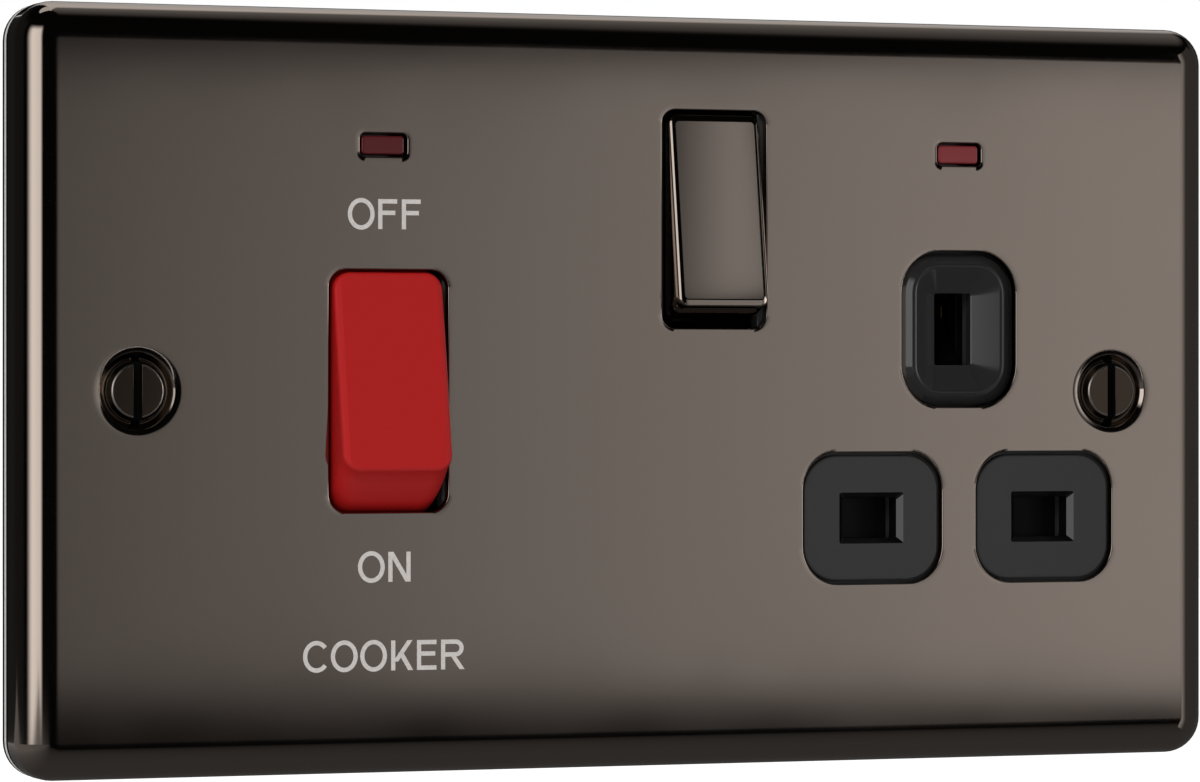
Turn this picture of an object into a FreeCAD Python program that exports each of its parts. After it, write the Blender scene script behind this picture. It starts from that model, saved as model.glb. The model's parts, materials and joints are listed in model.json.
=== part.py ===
import FreeCAD, Part
import math
import os
from dataclasses import dataclass
from FreeCAD import Placement, Rotation, Vector

# Flush cooker control unit: a double-pole cooker switch and a switched three-pin socket on one pressed plate.
# Millimetres. X runs to the right, Y into the wall and Z up; the origin is in the middle of the wall plane.

# Face plate and gasket
PLATE_WIDTH = 147.0
PLATE_HEIGHT = 87.0
PLATE_DEPTH = 6.8
SHEET = 1.2
EDGE_ROLL = 3.8
CORNER_RADIUS = 5.0
INSIDE_BEVEL = 0.7
GASKET = 2.0
GASKET_GAP = 1.5

# Overlap of fused pieces and overshoot of cutting tools
JOIN = 0.5
MARGIN = 1.0

# Fixing screws
FIXING_PITCH = 120.6
FIXING_RADIUS = 1.75
FIXING_NECK = 1.55
FIXING_CLEARANCE = 0.15
FIXING_HEAD_RADIUS = 3.5
FIXING_TOP_RADIUS = 2.85
FIXING_RAISE = 0.2
FIXING_REACH = 18.0
FIXING_SLOT = 1.0
DIMPLE_RADIUS = 4.45

# Front mouldings
FLANGE = 2.0
BOSS_RECESS = 0.5
BOSS_GAP = 0.35
BOSS_EDGE = 0.5
PAD = 1.3
CHEEK = 2.0
CHEEK_GAP = 0.3
CHEEK_HALF = 5.0
CHEEK_BELOW = 3.5
PAD_MARGIN = 1.0
SPLIT_OFFSET = 21.1
SPLIT_GAP = 0.2

# Rear base
BASE_WIDTH = 124.0
BASE_HEIGHT = 70.0
BASE_CORNER = 3.0
WALL = 2.0
LUG_ROOM = 6.8
LUG_HALF = 6.5
SHELF_Z = 20.5
HUMP_LEFT_INSET = 9.0
HUMP_RIGHT_INSET = 2.0
HUMP_STEP_ROOM = 13.2
COOKER_INSET = 31.3
SOCKET_INSET = 21.6
SWITCH_SPACING = 31.2
SWITCH_DROP = 15.1
RIB = 2.0
POST = 3.0
BARRIER = 1.6

# Screws that draw the base to the plate
BASE_SCREW_INSET = (6.0, 5.0)
BASE_SCREW_RADIUS = 1.5
BASE_HEAD_RADIUS = 2.8
BASE_HEAD = 2.0
BASE_DRIVE = 0.8
DRIVE_DEPTH = 1.0
NUT_RADIUS = 2.6
NUT_HEIGHT = 1.9
COLUMN_WALL = 1.2

# Rockers
ROCKER_WALL = 1.6
ROCKER_CAP = 2.2
RIDGE_DROP = 1.5
RIDGE_BEVEL = 0.4
TRUNNION_RADIUS = 1.5
EAR_RADIUS = 3.2
TUBE_RADIUS = 2.6
PLUNGER_RADIUS = 1.75
PLUNGER_LENGTH = 9.0
PLUNGER_SHOWN = 6.0
PLUNGER_GAP = 0.2
RUNNING_GAP = 0.06
SPRING_WIRE = 0.36
SPRING_TURNS = 5
SPRING_STEPS = 6

# Contact arms, straps and busbars
ARM_DEPTH = 11.7
ARM_WIDTH = 4.4
ARM_SHEET = 1.2
ARM_TILT = 7.5
ARM_CORNER = 1.0
TIP_RADIUS = 1.7
TIP_HEIGHT = 1.0
TIP_INSET = 2.0
FIXED_TIP = 0.8
CONTACT_GAP = 0.2
FULCRUM_GAP = 0.1
FULCRUM_HALF = 2.2
BAR = 1.2
BAR_WIDTH = 4.0
BAR_SPACE = 1.2
LINE_BAR_WIDTH = 3.0
EARTH_BAR_RISE = 6.0
STRAP_RISE = 3.4
STRAP_END = 0.6

# Cable terminals
TERMINAL_OFFSET = 7.4
TERMINAL_WIDTH = 10.0
TERMINAL_LENGTH = 11.0
TERMINAL_DEPTH = 11.5
TERMINAL_BORE = 3.3
EARTH_WIDTH = 9.0
EARTH_BORE = 2.6
EARTH_OFFSET = 24.7
EARTH_SPACING = 12.0
BORE_FLOOR = 2.0
BORE_SKIN = 1.0
TERMINAL_SCREW = 2.4
TERMINAL_HEAD = 3.3
TERMINAL_HEAD_HEIGHT = 1.8
TERMINAL_DRIVE = 0.9
EARTH_SCREW = 1.9
EARTH_HEAD = 2.7

# Three-pin socket
LINE_PIN_Z = -14.9
PIN_RISE = 22.2
PIN_SPREAD = 22.2
PIN_SLOT = (7.0, 4.8)
EARTH_SLOT = (4.8, 8.6)
SLOT_CHAMFER = 0.6
PIN_WINDOW = (17.8, 15.4, 4.4)
EARTH_WINDOW = (14.8, 18.4, 5.0)
DISH_RIM = 1.3
DISH_DEPTH = 1.5
SHUTTER = 2.0
SHUTTER_GAP = 0.25
SHUTTER_LAP = 0.8
SHUTTER_TRAVEL = 6.0
SHUTTER_STEM = 6.4
RAMP_ROOT = 3.0
SHUTTER_SPRING_RADIUS = 0.9
SHUTTER_SPRING_SPACE = 9.5
SPRING_SEAT = 5.0
CARRIER = 2.2
CARRIER_LAP = 0.5
CARRIER_STEM = 10.0
CARRIER_HEAD = 3.0
POST_INSET = 3.0
STEM_POST_INSET = 2.0
CLIP_SHEET = 0.8
CLIP_WIDTH = 6.0
CLIP_MOUTH = 1.0
CLIP_GAP = 3.8
CLIP_DEPTH = 10.0
CLIP_FLARE = 1.1
CLIP_LEAD = 2.0
CLIP_STEM = 1.6

# Neon indicators
NEON_SHIFT = -0.6
NEON_DROP = 7.1
NEON_HOLE = (5.7, 2.7, 0.7)
LENS_GAP = 0.3
LENS_RECESS = 0.3
LENS_LIP = 1.0
LENS_STEP = 1.6
LAMP_RADIUS = 2.0
LAMP_LENGTH = 9.0
RESISTOR_RADIUS = 1.2
RESISTOR_LENGTH = 6.5
RESISTOR_DROP = 5.5
LEAD = 0.5
LEAD_REACH = 4.0
LEAD_OFFSET = 0.9
JAW = 1.6

RIM = -GASKET
FRONT = RIM - PLATE_DEPTH
SHEET_BACK = FRONT + SHEET
FIXING_HOLE = FIXING_RADIUS + FIXING_CLEARANCE
DIMPLE_BACK = FRONT + DIMPLE_RADIUS - FIXING_HOLE + SHEET / 2
FLANGE_BACK = SHEET_BACK + FLANGE
PAD_BACK = FLANGE_BACK + PAD
SHUTTER_FRONT = PAD_BACK + SHUTTER_GAP
CARRIER_FRONT = SHUTTER_FRONT + SHUTTER + SHUTTER_GAP
CARRIER_BACK = CARRIER_FRONT + CARRIER
ARM_BACK = ARM_DEPTH + ARM_SHEET
BASE_HALF_WIDTH = BASE_WIDTH / 2
BASE_HALF_HEIGHT = BASE_HEIGHT / 2
BASE_SCREW_X = BASE_HALF_WIDTH - BASE_SCREW_INSET[0]
BASE_SCREW_Z = BASE_HALF_HEIGHT - BASE_SCREW_INSET[1]
SOCKET_X = BASE_HALF_WIDTH - SOCKET_INSET
EARTH_PIN_Z = LINE_PIN_Z + PIN_RISE
LINE_PIN_X = SOCKET_X - PIN_SPREAD / 2
NEUTRAL_PIN_X = SOCKET_X + PIN_SPREAD / 2


@dataclass
class Switch:
    """Sizes of one rocker switch; the tilt is half of the rocker's swing."""
    x: float
    z: float
    rocker_width: float
    face_half: float
    face_height: float
    tilt: float
    side_gap: float
    end_gap: float
    sweep_gap: float
    hole_corner: float
    skirt: float
    end_bevel: float
    arm_half: float
    poles: tuple

    @property
    def rise(self):
        return math.radians(self.tilt)

    @property
    def pivot_y(self):
        """The pressed end of the face lies flush with the plate."""
        pressed = self.face_height * math.cos(self.rise) - self.face_half * math.sin(self.rise)
        return FRONT + pressed

    @property
    def hole_half(self):
        reach = self.face_half * math.cos(self.rise) + self.face_height * math.sin(self.rise)
        return reach + self.end_gap

    @property
    def hole_width(self):
        return self.rocker_width + 2 * self.side_gap

    @property
    def end_radius(self):
        """The ends are round about the pivot, so they keep clear of the sheet all the way."""
        return math.hypot(self.hole_half, self.pivot_y - SHEET_BACK) - self.sweep_gap

    @property
    def reach(self):
        return ARM_DEPTH - PLUNGER_GAP - self.pivot_y

    @property
    def contact_level(self):
        """Depth at which the closed contacts meet."""
        swing = math.radians(ARM_TILT)
        return ARM_BACK + self.arm_half * math.sin(swing) + TIP_HEIGHT + CONTACT_GAP


COOKER = Switch(x=COOKER_INSET - BASE_HALF_WIDTH, z=0.0, rocker_width=13.1, face_half=11.3, face_height=12.7,
                tilt=10.2, side_gap=0.6, end_gap=0.4, sweep_gap=0.3, hole_corner=2.1, skirt=5.0, end_bevel=1.1,
                arm_half=12.0, poles=(-3.4, 3.4))
SOCKET = Switch(x=SOCKET_X - SWITCH_SPACING, z=BASE_HALF_HEIGHT - SWITCH_DROP, rocker_width=11.1,
                face_half=10.85, face_height=7.0, tilt=8.5, side_gap=1.0, end_gap=0.9, sweep_gap=0.8,
                hole_corner=1.7, skirt=1.0, end_bevel=0.6, arm_half=9.5, poles=(0.0,))

STRAP_FRONT = COOKER.contact_level + FIXED_TIP
STRAP_BACK = STRAP_FRONT + BAR
LINE_BAR_BACK = STRAP_BACK + BAR
NEUTRAL_BAR_FRONT = LINE_BAR_BACK + BAR_SPACE
EARTH_BAR_FRONT = NEUTRAL_BAR_FRONT + BAR + BAR_SPACE
HUMP_INNER = EARTH_BAR_FRONT + BAR + BAR_SPACE
HUMP_BACK = HUMP_INNER + WALL
SHELF_BACK = STRAP_FRONT - STRAP_RISE
SHELF_FLOOR = SHELF_BACK - WALL
TERMINAL_Z = SHELF_Z + SPLIT_GAP
LUG_X = FIXING_PITCH / 2 - LUG_ROOM
LAMP_Y = FLANGE_BACK + LENS_LIP + SHUTTER_GAP + LAMP_RADIUS
LINE_POLE = COOKER.x + COOKER.poles[0]
NEUTRAL_POLE = COOKER.x + COOKER.poles[1]
CORNERS = [(sx * BASE_SCREW_X, sz * BASE_SCREW_Z) for sx in (-1, 1) for sz in (-1, 1)]
COOKER_NEON_X = COOKER.x + NEON_SHIFT
NEON_X = (COOKER_NEON_X, SOCKET_X)
NEON_Z = BASE_HALF_HEIGHT - NEON_DROP
MOULDING_SPLIT = SOCKET_X - SPLIT_OFFSET
EARTH_TERMINALS = (COOKER.x + EARTH_OFFSET, COOKER.x + EARTH_OFFSET + EARTH_SPACING)


def span(centre, width):
    return (centre - width / 2, centre + width / 2)


def box(x_range, y_range, z_range):
    sizes = [high - low for low, high in (x_range, y_range, z_range)]
    return Part.makeBox(*sizes, Vector(x_range[0], y_range[0], z_range[0]))


def rounded_wire(centre, width, height, radius, y):
    """Rounded rectangle in a plane that faces the room."""
    corners = []
    for turn, (side, rise) in enumerate(((1, 1), (-1, 1), (-1, -1), (1, -1))):
        middle = Vector(centre[0] + side * (width / 2 - radius), y, centre[1] + rise * (height / 2 - radius))
        steps = [math.radians(90 * turn + part) for part in (0, 45, 90)]
        corners.append([middle + Vector(radius * math.cos(a), 0, radius * math.sin(a)) for a in steps])
    edges = []
    for here, following in zip(corners, corners[1:] + corners[:1]):
        edges.append(Part.Arc(*here).toShape())
        edges.append(Part.makeLine(here[2], following[0]))
    return Part.Wire(edges)


def rounded_block(centre, width, height, radius, y_range):
    face = Part.Face(rounded_wire(centre, width, height, radius, y_range[0]))
    return face.extrude(Vector(0, y_range[1] - y_range[0], 0))


def rod(start, direction, radius, length):
    return Part.makeCylinder(radius, length, Vector(*start), Vector(*direction))


def flat_plate(outline, y_range):
    """Stamped sheet from an outline of (x, z) corners."""
    points = [Vector(x, y_range[0], z) for x, z in outline]
    return Part.Face(Part.makePolygon(points + points[:1])).extrude(Vector(0, y_range[1] - y_range[0], 0))


def turned(profile, centre, direction):
    """Solid of revolution from (radius, distance) corners along a direction."""
    points = [Vector(radius, 0, along) for radius, along in profile]
    face = Part.Face(Part.makePolygon(points + points[:1]))
    solid = face.revolve(Vector(0, 0, 0), Vector(0, 0, 1), 360)
    solid.Placement = Placement(Vector(*centre), Rotation(Vector(0, 0, 1), Vector(*direction)))
    return solid


def side_profile(points, x_range):
    """Solid from (y, z) corners, drawn out along X."""
    corners = [Vector(x_range[0], y, z) for y, z in points]
    face = Part.Face(Part.makePolygon(corners + corners[:1]))
    return face.extrude(Vector(x_range[1] - x_range[0], 0, 0))


def edges_at(shape, y):
    return [edge for edge in shape.Edges
            if abs(edge.BoundBox.YMin - y) < 1e-4 and abs(edge.BoundBox.YMax - y) < 1e-4]


def coil(radius, length, start, direction):
    """Helical spring of square wire, lofted through sections along the helix."""
    half = SPRING_WIRE / 2
    count = SPRING_TURNS * SPRING_STEPS
    sections = []
    for step in range(count + 1):
        angle = 2 * math.pi * step / SPRING_STEPS
        height = half + (length - 2 * half) * step / count
        outward = Vector(math.cos(angle), math.sin(angle), 0)
        middle = outward * radius + Vector(0, 0, height)
        ring = [middle + outward * (a * half) + Vector(0, 0, b * half)
                for a, b in ((-1, -1), (1, -1), (1, 1), (-1, 1))]
        sections.append(Part.makePolygon(ring + ring[:1]))
    spring = Part.makeLoft(sections, True, True)
    spring.Placement = Placement(Vector(*start), Rotation(Vector(0, 0, 1), Vector(*direction)))
    return spring


# Openings that the plate, the mouldings and the moving pieces share
def windows():
    """Plate openings as (centre, width, height, corner)."""
    found = []
    for switch in (COOKER, SOCKET):
        found.append(((switch.x, switch.z), switch.hole_width, 2 * switch.hole_half, switch.hole_corner))
    for x in (LINE_PIN_X, NEUTRAL_PIN_X):
        found.append(((x, LINE_PIN_Z), *PIN_WINDOW))
    found.append(((SOCKET_X, EARTH_PIN_Z), *EARTH_WINDOW))
    for x in NEON_X:
        found.append(((x, NEON_Z), *NEON_HOLE))
    return found


# Face plate: pressed shell with a rolled edge, punched windows and two formed screw dimples
def pressed_shell(inset, front):
    return rounded_block((0, 0), PLATE_WIDTH - 2 * inset, PLATE_HEIGHT - 2 * inset, CORNER_RADIUS - inset,
                         (RIM, front))


def face_plate():
    outside = pressed_shell(0, FRONT)
    outside = outside.makeFillet(EDGE_ROLL, edges_at(outside, FRONT))
    inside = pressed_shell(SHEET, SHEET_BACK)
    inside = inside.makeChamfer((EDGE_ROLL - SHEET) * INSIDE_BEVEL, edges_at(inside, SHEET_BACK))
    plate = outside.cut(inside)
    for side in (-1, 1):
        x = side * FIXING_PITCH / 2
        bulge = Part.makeCone(DIMPLE_RADIUS + SHEET / 2, FIXING_HOLE + SHEET, DIMPLE_BACK - SHEET_BACK,
                              Vector(x, SHEET_BACK, 0), Vector(0, 1, 0))
        sink = Part.makeCone(DIMPLE_RADIUS, FIXING_HOLE, DIMPLE_RADIUS - FIXING_HOLE, Vector(x, FRONT, 0),
                             Vector(0, 1, 0))
        through = rod((x, FRONT, 0), (0, 1, 0), FIXING_HOLE, PLATE_DEPTH)
        plate = plate.fuse(bulge).cut(sink).cut(through)
    for centre, width, height, corner in windows():
        plate = plate.cut(rounded_block(centre, width, height, corner, (FRONT - MARGIN, SHEET_BACK + MARGIN)))
    return plate


def wall_gasket():
    ring = rounded_block((0, 0), PLATE_WIDTH, PLATE_HEIGHT, CORNER_RADIUS, (RIM, 0))
    ring = ring.cut(rounded_block((0, 0), BASE_WIDTH + 2 * GASKET_GAP, BASE_HEIGHT + 2 * GASKET_GAP,
                                  BASE_CORNER, (RIM - MARGIN, MARGIN)))
    for side in (-1, 1):
        ring = ring.cut(rod((side * FIXING_PITCH / 2, RIM, 0), (0, 1, 0), FIXING_RADIUS + BOSS_GAP, GASKET))
    return ring


def fixing_screw(side):
    """Raised countersunk screw that sits in its dimple."""
    edge = FRONT + DIMPLE_RADIUS - FIXING_HEAD_RADIUS - RUNNING_GAP
    neck = edge + FIXING_HEAD_RADIUS - FIXING_NECK
    thread = DIMPLE_BACK + RUNNING_GAP
    top = FRONT - FIXING_RAISE
    profile = [(0, top), (FIXING_TOP_RADIUS, top), (FIXING_HEAD_RADIUS, edge), (FIXING_NECK, neck),
               (FIXING_NECK, thread), (FIXING_RADIUS, thread), (FIXING_RADIUS, FIXING_REACH), (0, FIXING_REACH)]
    x = side * FIXING_PITCH / 2
    screw = turned(profile, (x, 0, 0), (0, 1, 0))
    slot_length = 2 * FIXING_HEAD_RADIUS + MARGIN
    return screw.cut(box(span(x, FIXING_SLOT), (top - MARGIN, top + FIXING_SLOT), span(0, slot_length)))


# Base screws and the nuts welded to the back of the plate
def weld_nut(x, z):
    corners = [math.radians(60 * step) for step in range(6)]
    nut = flat_plate([(x + NUT_RADIUS * math.cos(a), z + NUT_RADIUS * math.sin(a)) for a in corners],
                     (SHEET_BACK, SHEET_BACK + NUT_HEIGHT))
    return nut.cut(rod((x, SHEET_BACK, z), (0, 1, 0), BASE_SCREW_RADIUS + RUNNING_GAP, NUT_HEIGHT))


def base_screw(x, z):
    tip = SHEET_BACK + NUT_HEIGHT / 4
    head = SHELF_BACK + BASE_HEAD
    profile = [(0, tip), (BASE_SCREW_RADIUS, tip), (BASE_SCREW_RADIUS, SHELF_BACK),
               (BASE_HEAD_RADIUS, SHELF_BACK), (BASE_HEAD_RADIUS, head), (0, head)]
    screw = turned(profile, (x, 0, z), (0, 1, 0))
    return screw.cut(box(span(x, BASE_DRIVE), (head - DRIVE_DEPTH, head + MARGIN),
                         span(z, 2 * BASE_HEAD_RADIUS + MARGIN)))


# Front mouldings: the yoke carries both rockers, the socket front has the pin openings
def lug_cutters(clearance):
    """Room for the wall box lugs at both ends."""
    half = LUG_HALF + clearance
    return [box(sorted((side * (LUG_X - clearance), side * (BASE_HALF_WIDTH + MARGIN))),
                (FRONT - MARGIN, HUMP_BACK + MARGIN), (-half, half)) for side in (-1, 1)]


def flange(x_range):
    sheet = rounded_block((0, 0), BASE_WIDTH, BASE_HEIGHT, BASE_CORNER, (SHEET_BACK, FLANGE_BACK))
    sheet = sheet.common(box(x_range, (SHEET_BACK, FLANGE_BACK), (-BASE_HEIGHT, BASE_HEIGHT)))
    for cutter in lug_cutters(0):
        sheet = sheet.cut(cutter)
    for x, z in CORNERS:
        sheet = sheet.cut(rod((x, SHEET_BACK, z), (0, 1, 0), NUT_RADIUS + BOSS_GAP, FLANGE))
    return sheet


def neon_seat(moulding, x):
    """Lens hole, and two jaws that hold the lamp and its resistor."""
    hole_width, hole_height, corner = NEON_HOLE
    moulding = moulding.cut(rounded_block((x, NEON_Z), hole_width, hole_height, corner,
                                          (SHEET_BACK - MARGIN, FLANGE_BACK + MARGIN)))
    for side in (-1, 1):
        jaw_x = x + side * (RESISTOR_LENGTH - JAW) / 2
        low = NEON_Z - RESISTOR_DROP - 2 * RESISTOR_RADIUS
        jaw = box(span(jaw_x, JAW), (FLANGE_BACK, LAMP_Y + LAMP_RADIUS / 2), (low, NEON_Z + LAMP_RADIUS + JAW))
        lens_height = hole_height + LENS_STEP + 2 * RUNNING_GAP
        lens_room = box(span(jaw_x, JAW), (FLANGE_BACK, LAMP_Y), span(NEON_Z, lens_height))
        start = jaw_x - JAW / 2
        lamp_room = rod((start, LAMP_Y, NEON_Z), (1, 0, 0), LAMP_RADIUS + RUNNING_GAP, JAW)
        part_room = rod((start, LAMP_Y, NEON_Z - RESISTOR_DROP), (1, 0, 0), RESISTOR_RADIUS + RUNNING_GAP, JAW)
        moulding = moulding.fuse(jaw.cut(lens_room).cut(lamp_room).cut(part_room))
    return moulding


def rocker_seat(moulding, switch):
    """Opening for the rocker, with a cheek at each side that takes its trunnion."""
    inner = switch.rocker_width / 2 + CHEEK_GAP
    flange_level = switch.pivot_y - FLANGE_BACK
    half = math.sqrt(switch.end_radius ** 2 - flange_level ** 2) + switch.end_gap
    moulding = moulding.cut(box(span(switch.x, 2 * inner), (SHEET_BACK - MARGIN, FLANGE_BACK + MARGIN),
                                span(switch.z, 2 * half)))
    for side in (-1, 1):
        near = switch.x + side * inner
        far = near + side * CHEEK
        cheek = box(sorted((near, far)), (SHEET_BACK, switch.pivot_y + CHEEK_BELOW),
                    span(switch.z, 2 * CHEEK_HALF))
        bearing = rod((min(near, far), switch.pivot_y, switch.z), (1, 0, 0), TRUNNION_RADIUS + RUNNING_GAP,
                      CHEEK)
        moulding = moulding.fuse(cheek.cut(bearing))
    return moulding


def switch_yoke():
    yoke = flange((-BASE_HALF_WIDTH, MOULDING_SPLIT - SPLIT_GAP / 2))
    for switch in (COOKER, SOCKET):
        yoke = rocker_seat(yoke, switch)
    return neon_seat(yoke, COOKER_NEON_X)


def slot_wire(centre, slot, y):
    (left, right), (low, high) = span(centre[0], slot[0]), span(centre[1], slot[1])
    points = [Vector(x, y, z) for x, z in ((right, high), (left, high), (left, low), (right, low))]
    return Part.makePolygon(points + points[:1])


def slot_block(centre, slot):
    return box(span(centre[0], slot[0]), (FRONT, CARRIER_FRONT), span(centre[1], slot[1]))


def pin_opening(centre, front):
    """Slot for a flat pin, with a bevelled lead-in."""
    rim = [size + 2 * SLOT_CHAMFER for size in PIN_SLOT]
    lead = Part.makeLoft([slot_wire(centre, rim, front), slot_wire(centre, PIN_SLOT, front + SLOT_CHAMFER)],
                         True, True)
    return lead.fuse(slot_block(centre, PIN_SLOT))


def earth_opening(centre, front):
    """Slot for the earth pin at the bottom of a dish that follows the boss."""
    width, height, corner = [size - 2 * BOSS_GAP - 2 * DISH_RIM for size in EARTH_WINDOW]
    dish = Part.makeLoft([rounded_wire(centre, width, height, corner + BOSS_GAP + DISH_RIM, front),
                          rounded_wire(centre, *EARTH_SLOT, SLOT_CHAMFER, front + DISH_DEPTH)], True, True)
    return dish.fuse(slot_block(centre, EARTH_SLOT))


def tee(bar_half, stem_half, low, shoulder, high, y_range):
    """T-shaped slab on the socket's centre line, wide below and narrow above."""
    bar = box(span(SOCKET_X, 2 * bar_half), y_range, (low, shoulder))
    return bar.fuse(box(span(SOCKET_X, 2 * stem_half), y_range, (shoulder - RUNNING_GAP, high)))


SHUTTER_HALF = PIN_SPREAD / 2 + PIN_SLOT[0] / 2 + 2 * SHUTTER_LAP
SHUTTER_TOP = LINE_PIN_Z + PIN_SLOT[1] / 2 + SHUTTER_LAP
SHUTTER_LOW = LINE_PIN_Z - PIN_SLOT[1] / 2 - SHUTTER_LAP
CHAMBER_LOW = SHUTTER_LOW - SHUTTER_TRAVEL - SHUTTER_GAP
CHAMBER_HALF = SHUTTER_HALF + SHUTTER_GAP + JAW
SPRING_SEAT_Z = SHUTTER_LOW - SHUTTER_SPRING_SPACE
RAMP_LOW = EARTH_PIN_Z - EARTH_SLOT[1] / 2
SHUTTER_Y = SHUTTER_FRONT + SHUTTER / 2


def socket_front():
    moulding = flange((MOULDING_SPLIT + SPLIT_GAP / 2, BASE_HALF_WIDTH))
    front = FRONT + BOSS_RECESS
    pins = [(LINE_PIN_X, LINE_PIN_Z), (NEUTRAL_PIN_X, LINE_PIN_Z)]
    for centre in pins:
        width, height, corner = PIN_WINDOW
        boss = rounded_block(centre, width - 2 * BOSS_GAP, height - 2 * BOSS_GAP, corner - BOSS_GAP,
                             (FLANGE_BACK, front))
        moulding = moulding.fuse(boss)
    width, height, corner = EARTH_WINDOW
    boss = rounded_block((SOCKET_X, EARTH_PIN_Z), width - 2 * BOSS_GAP, height - 2 * BOSS_GAP,
                         corner - BOSS_GAP, (FLANGE_BACK, front))
    moulding = moulding.fuse(boss.makeChamfer(BOSS_EDGE, edges_at(boss, front)))
    moulding = moulding.fuse(tee(CHAMBER_HALF, SHUTTER_STEM, CHAMBER_LOW, SHUTTER_TOP + JAW + SHUTTER_GAP,
                                 EARTH_PIN_Z + EARTH_SLOT[1] / 2 + PAD_MARGIN, (FLANGE_BACK, PAD_BACK)))
    for side in (-1, 1):
        rail = span(SOCKET_X + side * (CHAMBER_HALF - JAW / 2), JAW)
        moulding = moulding.fuse(box(rail, (PAD_BACK, CARRIER_FRONT), (CHAMBER_LOW, SHUTTER_TOP)))
        stop = span(SOCKET_X + side * (CHAMBER_HALF + SHUTTER_STEM) / 2, CHAMBER_HALF - SHUTTER_STEM)
        stop_z = (SHUTTER_TOP + SHUTTER_GAP, SHUTTER_TOP + SHUTTER_GAP + JAW)
        moulding = moulding.fuse(box(stop, (PAD_BACK, CARRIER_FRONT), stop_z))
    moulding = moulding.fuse(box(span(SOCKET_X, SPRING_SEAT), (FLANGE_BACK, CARRIER_FRONT),
                                 (SPRING_SEAT_Z - JAW, SPRING_SEAT_Z)))
    for centre in pins:
        moulding = moulding.cut(pin_opening(centre, front))
    moulding = moulding.cut(earth_opening((SOCKET_X, EARTH_PIN_Z), front))
    return neon_seat(moulding, SOCKET_X)


def shutter():
    """Slide that closes both pin slots; the earth pin drives its ramp down."""
    back = SHUTTER_FRONT + SHUTTER
    bar = box(span(SOCKET_X, 2 * SHUTTER_HALF), (SHUTTER_FRONT, back), (SHUTTER_LOW, SHUTTER_TOP))
    stem = box(span(SOCKET_X, SHUTTER_STEM), (SHUTTER_FRONT, back), (SHUTTER_TOP - RUNNING_GAP, RAMP_LOW))
    end = SHUTTER_FRONT + SHUTTER_TRAVEL - SHUTTER_GAP
    root = RAMP_LOW - RAMP_ROOT
    ramp = side_profile([(SHUTTER_FRONT, RAMP_LOW), (end, RAMP_LOW + SHUTTER_TRAVEL - SHUTTER_GAP),
                         (end, RAMP_LOW), (back, root), (SHUTTER_FRONT, root)], span(SOCKET_X, EARTH_SLOT[0]))
    return bar.fuse(stem).fuse(ramp).removeSplitter()


def shutter_spring():
    length = SHUTTER_SPRING_SPACE - 2 * RUNNING_GAP
    return coil(SHUTTER_SPRING_RADIUS, length, (SOCKET_X, SHUTTER_Y, SPRING_SEAT_Z + RUNNING_GAP), (0, 0, 1))


CARRIER_HALF = CHAMBER_HALF + CARRIER_LAP
CARRIER_TOP = EARTH_PIN_Z + EARTH_SLOT[1] / 2 + CARRIER_HEAD
CARRIER_SHOULDER = -LUG_HALF - WALL - CARRIER_LAP


def contact_carrier():
    """Deck behind the shutter; the pins pass it to reach the contacts."""
    deck = tee(CARRIER_HALF, CARRIER_STEM, CHAMBER_LOW, CARRIER_SHOULDER, CARRIER_TOP,
               (CARRIER_FRONT, CARRIER_BACK))
    room = 2 * BOSS_GAP
    for x in (LINE_PIN_X, NEUTRAL_PIN_X):
        deck = deck.cut(box(span(x, PIN_SLOT[0] + room), (CARRIER_FRONT - MARGIN, CARRIER_BACK + MARGIN),
                            span(LINE_PIN_Z, PIN_SLOT[1] + room)))
    for cutter in lug_cutters(WALL + BOSS_GAP):
        deck = deck.cut(cutter)
    return deck.cut(box(span(SOCKET_X, EARTH_SLOT[0] + room), (CARRIER_FRONT - MARGIN, CARRIER_BACK + MARGIN),
                        (RAMP_LOW - SHUTTER_TRAVEL - RAMP_ROOT - room, EARTH_PIN_Z + EARTH_SLOT[1] / 2 + room)))


CARRIER_POSTS = [(SOCKET_X + side * (CARRIER_HALF - POST_INSET), CHAMBER_LOW + POST_INSET, SHELF_FLOOR)
                 for side in (-1, 1)]
CARRIER_POSTS += [(SOCKET_X + side * (CARRIER_STEM - STEM_POST_INSET), CARRIER_TOP - STEM_POST_INSET,
                   HUMP_INNER) for side in (-1, 1)]


# Rear base: a deep box with a shelf above and below, where the cable terminals stand
def hump(inset, y_range):
    left, right = HUMP_LEFT_INSET - BASE_HALF_WIDTH + inset, BASE_HALF_WIDTH - HUMP_RIGHT_INSET - inset
    near = SOCKET.x - HUMP_STEP_ROOM + inset
    far = BASE_SCREW_X - BASE_SCREW_INSET[0] - inset
    shelf, top = SHELF_Z - inset, BASE_HALF_HEIGHT - inset
    outline = [(left, -shelf), (right, -shelf), (right, shelf), (far, shelf), (far, top), (near, top),
               (near, shelf), (left, shelf)]
    return flat_plate(outline, y_range)


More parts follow.
